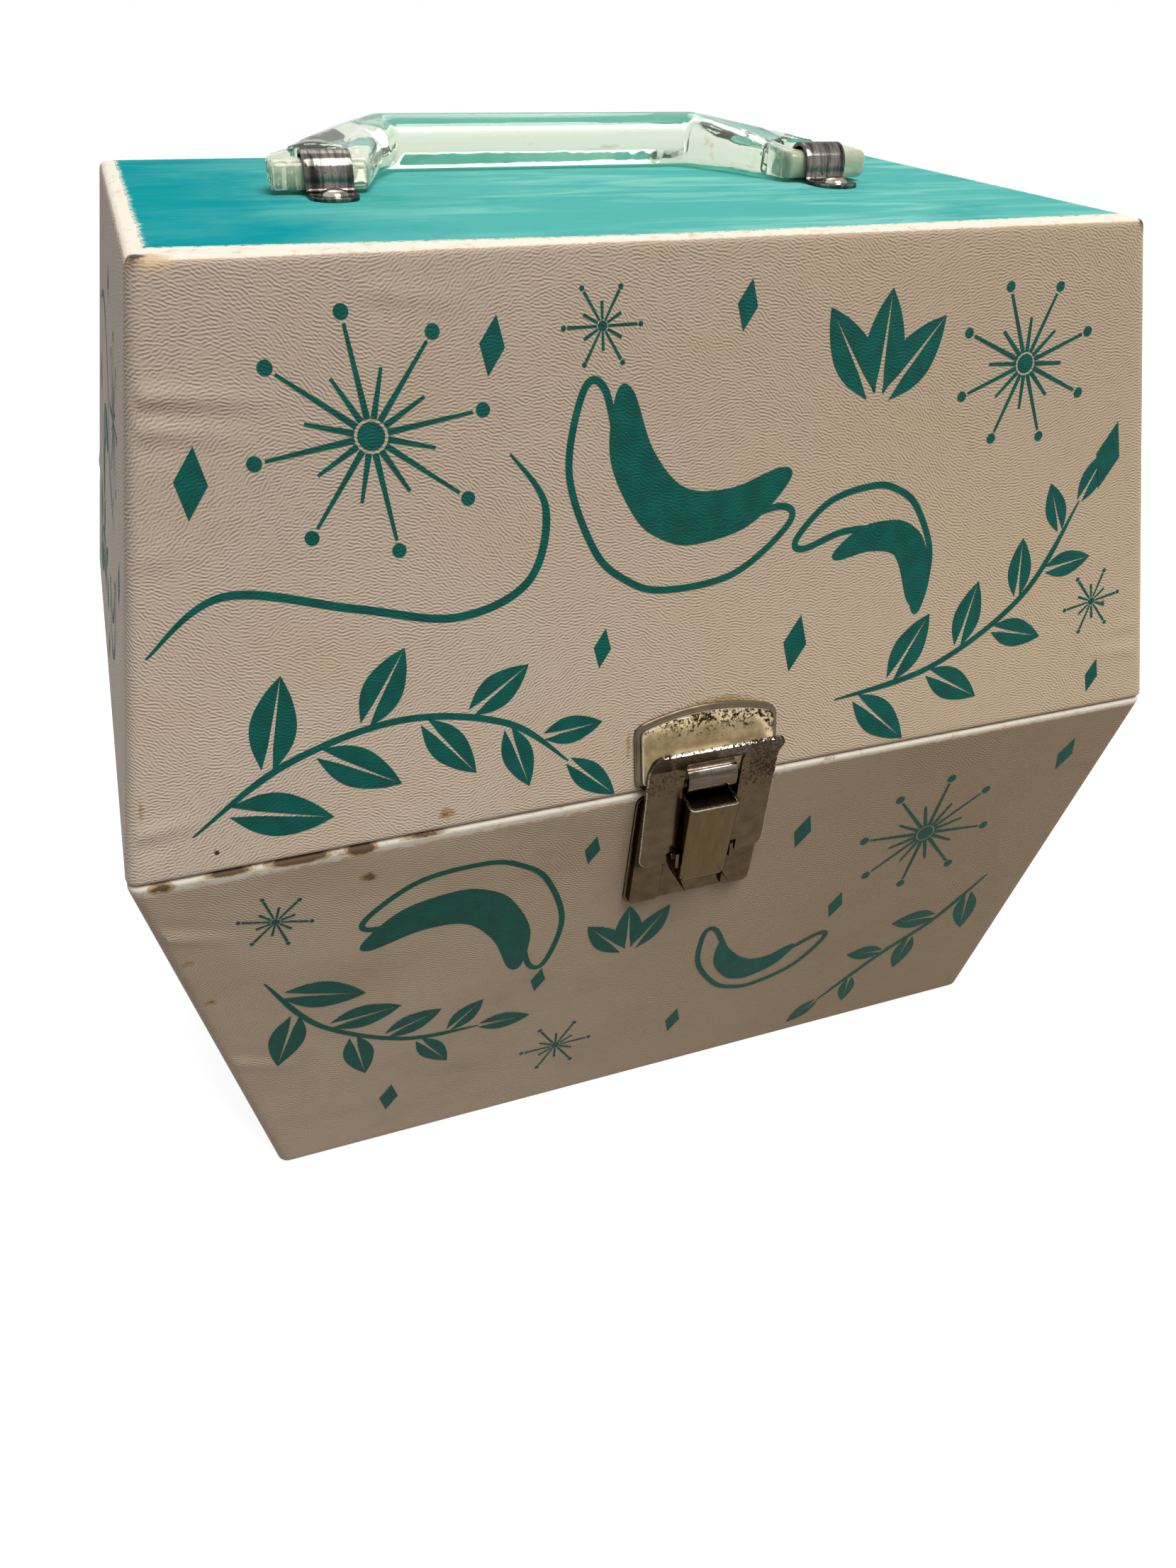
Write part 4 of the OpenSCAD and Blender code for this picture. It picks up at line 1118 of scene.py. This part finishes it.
def make_base_plate():
    """Latch base plate with its two raised wings."""
    half, low, high, corner = 15.5, 0.6, 33.0, 2.2
    wing_in, wing_out, wing_low, wing_high, wing_corner = 7.5, 14.8, 1.4, 32.2, 1.5
    wall = lambda p: BASE.on_wall("front", *p)
    plate = rounded_outline(-half, low, half, high, corner)
    built = Build().add(stack(plate, [(0, 0), (0, 0.5), (0.2, 0.7)]), wall)
    wing_levels = [(0, 0.6), (0.02, 1.3), (0.2, 1.9), (0.5, 2.12), (0.9, 2.2)]
    for left, right in ((-wing_out, -wing_in), (wing_in, wing_out)):
        wing = rounded_outline(left, wing_low, right, wing_high, wing_corner)
        built.add(stack(wing, wing_levels), wall)
    return make_piece("latch_plate", built, "base", PLATE_METAL, ("latch_base_plate",))


def make_housing():
    """Folded cover over the spring: chamfered long edges, open at the rim end and closed at the foot."""
    half, deep, chamfer, length, start, foot = 5.7, 6.4, 1.1, 22.0, 1.7, 0.7
    # Across: share of the half width, share of the depth, and of the chamfer
    edge = [(-1, 0.0, 0), (-1, 1.0, -1), (-0.985, 1.0, -0.7), (-0.94, 1.0, -0.35), (-0.88, 1.0, -0.1),
            (-0.8, 1.0, 0)]
    section = edge + [(x, 1.0, 0) for x in (-0.5, 0, 0.5)]
    section += [(-x, high, cut) for x, high, cut in reversed(edge)]
    # Along: place, then shares of the width and of the depth
    rows = [(0, 1, 1), (0.25, 1, 1), (2, 1, 1), (6, 0.995, 1), (10, 0.985, 1), (14, 0.97, 1), (18, 0.95, 1),
            (20.2, 0.94, 1), (20.9, 0.93, 0.97), (21.5, 0.92, 0.9), (21.85, 0.915, 0.78), (length, 0.91, 0.6),
            (length, 0.91, 0.0)]
    verts = []
    for along, narrow, rise in rows:
        for x, high, cut in section:
            z = foot + high * (deep - foot + cut * chamfer) * rise
            verts.append((x * half * narrow, start + along, z))
    faces = grid_faces(len(rows), len(section))
    # Bent edge inside the open end: place along and height above the wall; its painted highlight fades from
    # bright to dark
    ledge = [(0.05, deep - 0.5), (0.25, deep - 1.4), (0.5, deep - 3.9)]
    across = [half * 0.9 * i / 4 for i in range(-4, 5)]
    faces += [[len(verts) + i for i in face] for face in grid_faces(len(ledge), len(across))]
    verts += [(x, start + along, out) for along, out in ledge for x in across]
    built = Build().add((verts, faces), lambda p: BASE.on_wall("front", *p))
    piece = make_piece("spring_housing", built, "base", HOUSING_METAL, ("latch_housing",))
    # Painted highlight along the open end's rim and on the bent edge inside it
    shine = [1.0] * len(section) + [0.0] * (len(section) * (len(rows) - 1))
    shine += [level for level in (0.7, 0.4, 0.0) for x in across]
    set_points(piece.data, shine=shine)
    thicken(piece, 0.7)
    bevel(piece, 0.14)
    return piece


def lever_path():
    """Inner face of the lever from its foot to the tip of its lip, as (y, z)."""
    lean, flare = math.radians(5.59), math.radians(30)
    stand, foot, bend, rounding = 2.7, 83.0, 108.3, 0.8
    inner = lambda z: -BASE.seam[1] - stand - (z - BASE.rim) * math.tan(lean)
    starts = [0, 0.15, 0.35, 0.65, 1.0, 1.4, 1.9, 2.4, 2.95, 3.0] + [4 + 20.5 * i / 12 for i in range(13)]
    legs = [(inner(foot + s), foot + s) for s in starts]
    start, knee = (inner(bend - rounding), bend - rounding), (inner(bend), bend)
    end = (inner(bend) - rounding * math.sin(flare), bend + rounding * math.cos(flare))
    turn = []
    for i in range(1, 6):
        t = i / 6
        a, b, c = (1 - t) ** 2, 2 * t * (1 - t), t * t
        turn.append(tuple(a * start[k] + b * knee[k] + c * end[k] for k in (0, 1)))
    lip = [(inner(bend) - s * math.sin(flare), bend + s * math.cos(flare))
           for s in (rounding, 2, 3, 4, 4.4, 4.8, 5.2, 5.5, 5.8, 6.05, 6.2, 6.32, 6.4)]
    return legs + turn + lip


def make_lever():
    """Sheet lever with a window between its legs, and a flared lip that is rounded at its corners."""
    path = lever_path()
    half, window, foot_r, lip_r = 14.6, 6.45, 2.4, 2.5
    # The legs are narrower up to notch_top from their ends, and narrow columns of quads line their edges
    window_top, notch, notch_top, lining = 109.3, 1.7, 2.98, 0.3
    reach = [0.0]
    for a, b in zip(path, path[1:]):
        reach.append(reach[-1] + math.dist(a, b))
    total = reach[-1]

    def outer(i):
        return half - max(corner_cut(foot_r, reach[i]), corner_cut(lip_r, total - reach[i]))

    def inner(i):
        return window + (notch if reach[i] < notch_top else 0.0)

    def in_window(face):
        row, column = divmod(face[0], columns)
        return legs <= column < legs + middle and path[row][1] < window_top

    legs, middle = 5, 6
    verts = []
    columns = 2 * (legs + 1) + middle - 1
    for i, (y, z) in enumerate(path):
        start = -outer(i) + lining
        xs = [-outer(i)] + [start + (-inner(i) - start) * c / (legs - 1) for c in range(legs)]
        across = [-window + 2 * window * c / middle for c in range(1, middle)]
        for x in xs + across + [-x for x in reversed(xs)]:
            verts.append((x, y, z))
    faces = [face for face in grid_faces(len(path), columns) if not in_window(face)]
    used = sorted({i for face in faces for i in face})
    index = {old: new for new, old in enumerate(used)}
    shape = ([verts[i] for i in used], [[index[i] for i in face] for face in faces])
    piece = make_piece("lever_plate", Build().add(shape), "latch_lever", NICKEL, ("latch_lever",))
    left = [total - reach[i // columns] for i in used]
    edges = [i % columns in (0, columns - 1) for i in used]
    # Painted highlight along the lip's tip, partly rubbed bright metal, and along the outer edges; painted dark
    # reflection on the lip's face below the tip
    shine = [1.0 if to_tip < 0.1 else 0.4 if edge else 0.0 for to_tip, edge in zip(left, edges)]
    dull = [0.95 if 0.15 < to_tip < 5.6 else 0.0 for to_tip in left]
    rust = [0.3 if to_tip < 0.4 else 0.0 for to_tip in left]
    set_points(piece.data, shine=shine, dull=dull, rust=rust)
    thicken(piece, 0.9)
    bevel(piece, 0.2)
    return piece


def make_lever_ears():
    """Ears that bend back from the legs and turn on the pin."""
    y, z, radius, reach = -78.869, 84.5, 1.8, -81.2
    low, high, edge = 6.0, 6.75, 0.12
    outline = arc(y, z, radius, -90, 90, 12) + [(reach, z + radius), (reach, z - radius)]
    shape = stack(outline, [(edge, low), (0, low + edge), (0, high - edge), (edge, high)])
    built = Build()
    for sign in (-1, 1):
        built.add(shape, lambda p: Vector((sign * p.z, p.x, p.y)) * MM)
    return make_piece("lever_ears", built, "latch_lever", NICKEL)


# Clips and rivets

# Place on either side of the middle, half width, sheet, and the handle's axis above the top
CLIP_X = 55.0
CLIP_W = 4.75
CLIP_T = 0.8
AXIS_UP = 3.514
# Radius of the strap over the handle, and how far its feet and rivets lie from the axis
STRAP_R = 4.314
FOOT_END = 13.514
RIVET_Y = 8.914


def make_clip(name, node, x):
    """Strap over the handle's lug, with two round-ended feet."""
    bend = 0.9
    foot = [(FOOT_END - CLIP_W * (1 - math.cos(math.radians(a))), CLIP_T) for a in range(0, 91, 9)]
    foot += [(STRAP_R + bend + 0.8, CLIP_T)]
    across, up = STRAP_R + bend, CLIP_T + bend
    corner = [(across - bend * math.cos(math.radians(a)), up - bend * math.sin(math.radians(a)))
              for a in (85, 65, 45, 25, 5)]
    right = foot + corner + [(STRAP_R, 2.6)]
    over = arc(0, AXIS_UP, STRAP_R, 0, 180, 20)
    path = right + over + [(-y, z) for y, z in reversed(right)]

    def width(i):
        far = abs(path[i][0]) - (FOOT_END - CLIP_W)
        if far <= 0:
            return CLIP_W
        return max(math.sqrt(max(CLIP_W ** 2 - far ** 2, 0.0)), 0.5)

    top = LID.rim + LID.height
    built = Build().add(strip(path, width), lambda p: Vector((p.x + x, p.y, p.z + top)) * MM)
    piece = make_piece(name, built, "lid", CLIP_METAL, (node,))
    rust = [max(0.0, 1.0 - abs(abs(y) - 5.4) / 2.5) for y, z in path for c in range(STRIP_COLUMNS + 1)]
    set_points(piece.data, rust=rust)
    thicken(piece, 0.78)
    bevel(piece, 0.14)
    return piece


def rivet_shape(head_r, head_h, shank_r, top, bottom):
    """Rivet with a flat-topped dome above, and a clinched end below."""
    dome = ((0.0, 1.0), (0.32, 0.98), (0.6, 0.86), (0.83, 0.6), (0.96, 0.25))
    head = [(out * head_r, top + up * head_h) for out, up in dome] + [(head_r, top + 0.02)]
    flare = (head_r + shank_r) / 2
    tail = [(shank_r, top), (shank_r, bottom), (flare, bottom - 0.05), (flare * 0.9, bottom - head_h * 0.45)]
    return revolve(head + tail + [(0.0, bottom - head_h * 0.45)])


def make_clip_rivets():
    top = LID.rim + LID.height
    built = Build()
    for sx in (-1, 1):
        for sy in (-1, 1):
            shape = rivet_shape(2.7, 1.1, 1.4, CLIP_T, -WALL_T - CLIP_T)
            built.add(shape, lambda p: Vector((p.x + sx * CLIP_X, p.y + sy * RIVET_Y, p.z + top)) * MM)
    return make_piece("clip_rivet_set", built, "lid", RIVET_METAL, ("clip_rivets",))


# Handle: one clear moulding

def make_handle():
    """The CAD handle with its edges melted round, and a small hollow in each end."""
    source = nodes["handle"]
    work = add_object("handle_work", source.data.copy())
    remesh = work.modifiers.new("remesh", "REMESH")
    remesh.mode = "VOXEL"
    remesh.voxel_size = 0.5 * MM
    smooth = work.modifiers.new("smooth", "SMOOTH")
    smooth.factor = 0.5
    smooth.iterations = 14
    bpy.context.view_layer.update()
    graph = bpy.context.evaluated_depsgraph_get()
    mesh = bpy.data.meshes.new_from_object(work.evaluated_get(graph))
    bpy.data.objects.remove(work)
    mesh.name = "clear_handle"
    for vertex in mesh.vertices:
        x, y, z = vertex.co / MM
        if abs(x) > 65:
            hollow = 0.6 * math.exp(-((y - 0.9) / 0.8) ** 2 - ((z - 207.9) / 1.7) ** 2)
            vertex.co.x -= math.copysign(hollow * MM, x)
    mesh.materials.clear()
    mesh.materials.append(PLASTIC)
    mesh.shade_smooth()
    piece = add_object("clear_handle", mesh)
    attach(piece, "handle")
    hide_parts("handle")
    return piece


# Surfaces of the CAD nodes that stay

def dress(names, material, edge=0.0):
    for name in names:
        node = nodes[name]
        node.data.materials.clear()
        node.data.materials.append(material)
        if edge:
            bevel(node, edge, angle=40)


# Stage, lights and camera

def backdrop_rays(g):
    """1 for rays that see the backdrop, straight or in a reflection, and 0 for rays that light the case."""
    seen = [g.node("LightPath", out="Is %s Ray" % kind) for kind in ("Camera", "Glossy", "Transmission")]
    return g.math("MAXIMUM", g.math("MAXIMUM", seen[0], seen[1]), seen[2])


def make_floor():
    """Pale floor that keeps the case's shadow and throws little light back at it."""
    size, height = 3.0, -0.0002
    mesh = bpy.data.meshes.new("floor")
    corners = [(x * size, y * size, height) for x, y in ((-1, -1), (1, -1), (1, 1), (-1, 1))]
    mesh.from_pydata(corners, [], [[0, 1, 2, 3]])
    floor = add_object("floor", mesh)
    material = bpy.data.materials.new("floor_white")
    material.use_nodes = True
    g = Nodes(material.node_tree)
    dim = g.node("BsdfDiffuse", {0: (0.15, 0.125, 0.1)})
    shaded = g.node("BsdfDiffuse", {0: (0.6, 0.6, 0.6)})
    white = g.node("AddShader", {0: shaded, 1: g.node("Emission", {1: 0.85})})
    g.node("OutputMaterial", {0: g.node("MixShader", {0: backdrop_rays(g), 1: dim, 2: white})})
    mesh.materials.append(material)


def make_world():
    """White where it is seen, and a weak cool fill where it lights the case."""
    scene.world = bpy.data.worlds.new("studio")
    scene.world.use_nodes = True
    g = Nodes(scene.world.node_tree)
    fill = g.node("Background", {0: (0.82, 0.93, 1.0), 1: 0.28})
    white = g.node("Background", {0: (1.0, 1.0, 1.0)})
    g.node("OutputWorld", {0: g.node("MixShader", {0: backdrop_rays(g), 1: fill, 2: white})})


def add_light(name, azimuth, elevation, power, colour):
    """Soft square light. Azimuth 0 is in front of the case and 90 on its right."""
    distance, size = 1.6, 0.9
    data = bpy.data.lights.new(name, "AREA")
    data.size = size
    data.energy = power
    data.color = colour
    light = add_object(name, data)
    a, e = math.radians(azimuth), math.radians(elevation)
    direction = Vector((math.sin(a) * math.cos(e), -math.cos(a) * math.cos(e), math.sin(e)))
    centre = Vector((0, 0, 0.1))
    light.location = centre + direction * distance
    light.rotation_mode = "QUATERNION"
    light.rotation_quaternion = direction.to_track_quat("Z", "Y")


# Camera of the photograph: its place in millimetres and the directions of the picture's axes
CAMERA_PLACE = (-98.44, -263.96, 239.7)
CAMERA_RIGHT = (0.937427, -0.34736, 0.023906)
CAMERA_AHEAD = (0.301396, 0.775172, -0.55522)
CAMERA_LENS = 27.43


def make_camera():
    data = bpy.data.cameras.new("camera")
    data.sensor_width = 36.0
    data.lens = CAMERA_LENS
    data.clip_start = 0.01
    camera = add_object("camera", data)
    back = -Vector(CAMERA_AHEAD).normalized()
    up = back.cross(Vector(CAMERA_RIGHT)).normalized()
    right = up.cross(back)
    rows = [[right[i], up[i], back[i], CAMERA_PLACE[i] * MM] for i in range(3)]
    camera.matrix_world = Matrix(rows + [[0, 0, 0, 1]])
    scene.camera = camera


make_camera()
make_floor()
make_world()
add_light("key", 22, 62, 25.0, (1.0, 0.945, 0.89))
add_light("back", 170, 52, 5.0, (1.0, 0.97, 0.94))

LID_BOARDS = ["lid_%s_board" % side for side in ("top", "front", "back", "left", "right")]
BASE_BOARDS = ["base_%s_board" % side for side in ("bottom", "front", "back", "left", "right")]
HINGE_LEAVES = ["%s_hinge_%s_leaf" % (side, half) for half in ("base", "lid") for side in ("left", "right")]
make_cover(LID, LID_PAPER, ("lid_cover",))
make_cover(BASE, BASE_PAPER, ("base_cover",))
make_boards(LID, BOARD, LID_BOARDS)
make_boards(BASE, BOARD, BASE_BOARDS)
make_sheet("turquoise_top", LID, "top_sheet", 11, (0.5, 0.12, 0.15, 0.5), TURQUOISE,
           crooked)
make_sheet("bottom_paper", BASE, "bottom_sheet", 5, (0.15, 0.15, 0.15, 0.15), BOTTOM)
print_lid_front()
print_base_front()
for wall in ("left", "right"):
    print_end_wall(LID, wall, LID_INK)
    print_end_wall(BASE, wall, BASE_INK)
print_back(LID, LID_INK)
print_back(BASE, BASE_INK)
make_strike()
make_nose()
make_base_plate()
make_housing()
make_lever()
make_lever_ears()
make_clip("left_strap", "left_clip", -CLIP_X)
make_clip("right_strap", "right_clip", CLIP_X)
make_clip_rivets()
make_handle()
dress(["lid_lining", "base_lining", "collar_front", "collar_left", "collar_right"], LINING)
dress(["latch_pin", "latch_spring", "left_hinge_pin", "right_hinge_pin"], STEEL)
dress(["latch_rivets", "base_hinge_rivets", "lid_hinge_rivets", "clip_washers"], STEEL)
dress(HINGE_LEAVES, STEEL, 0.12)
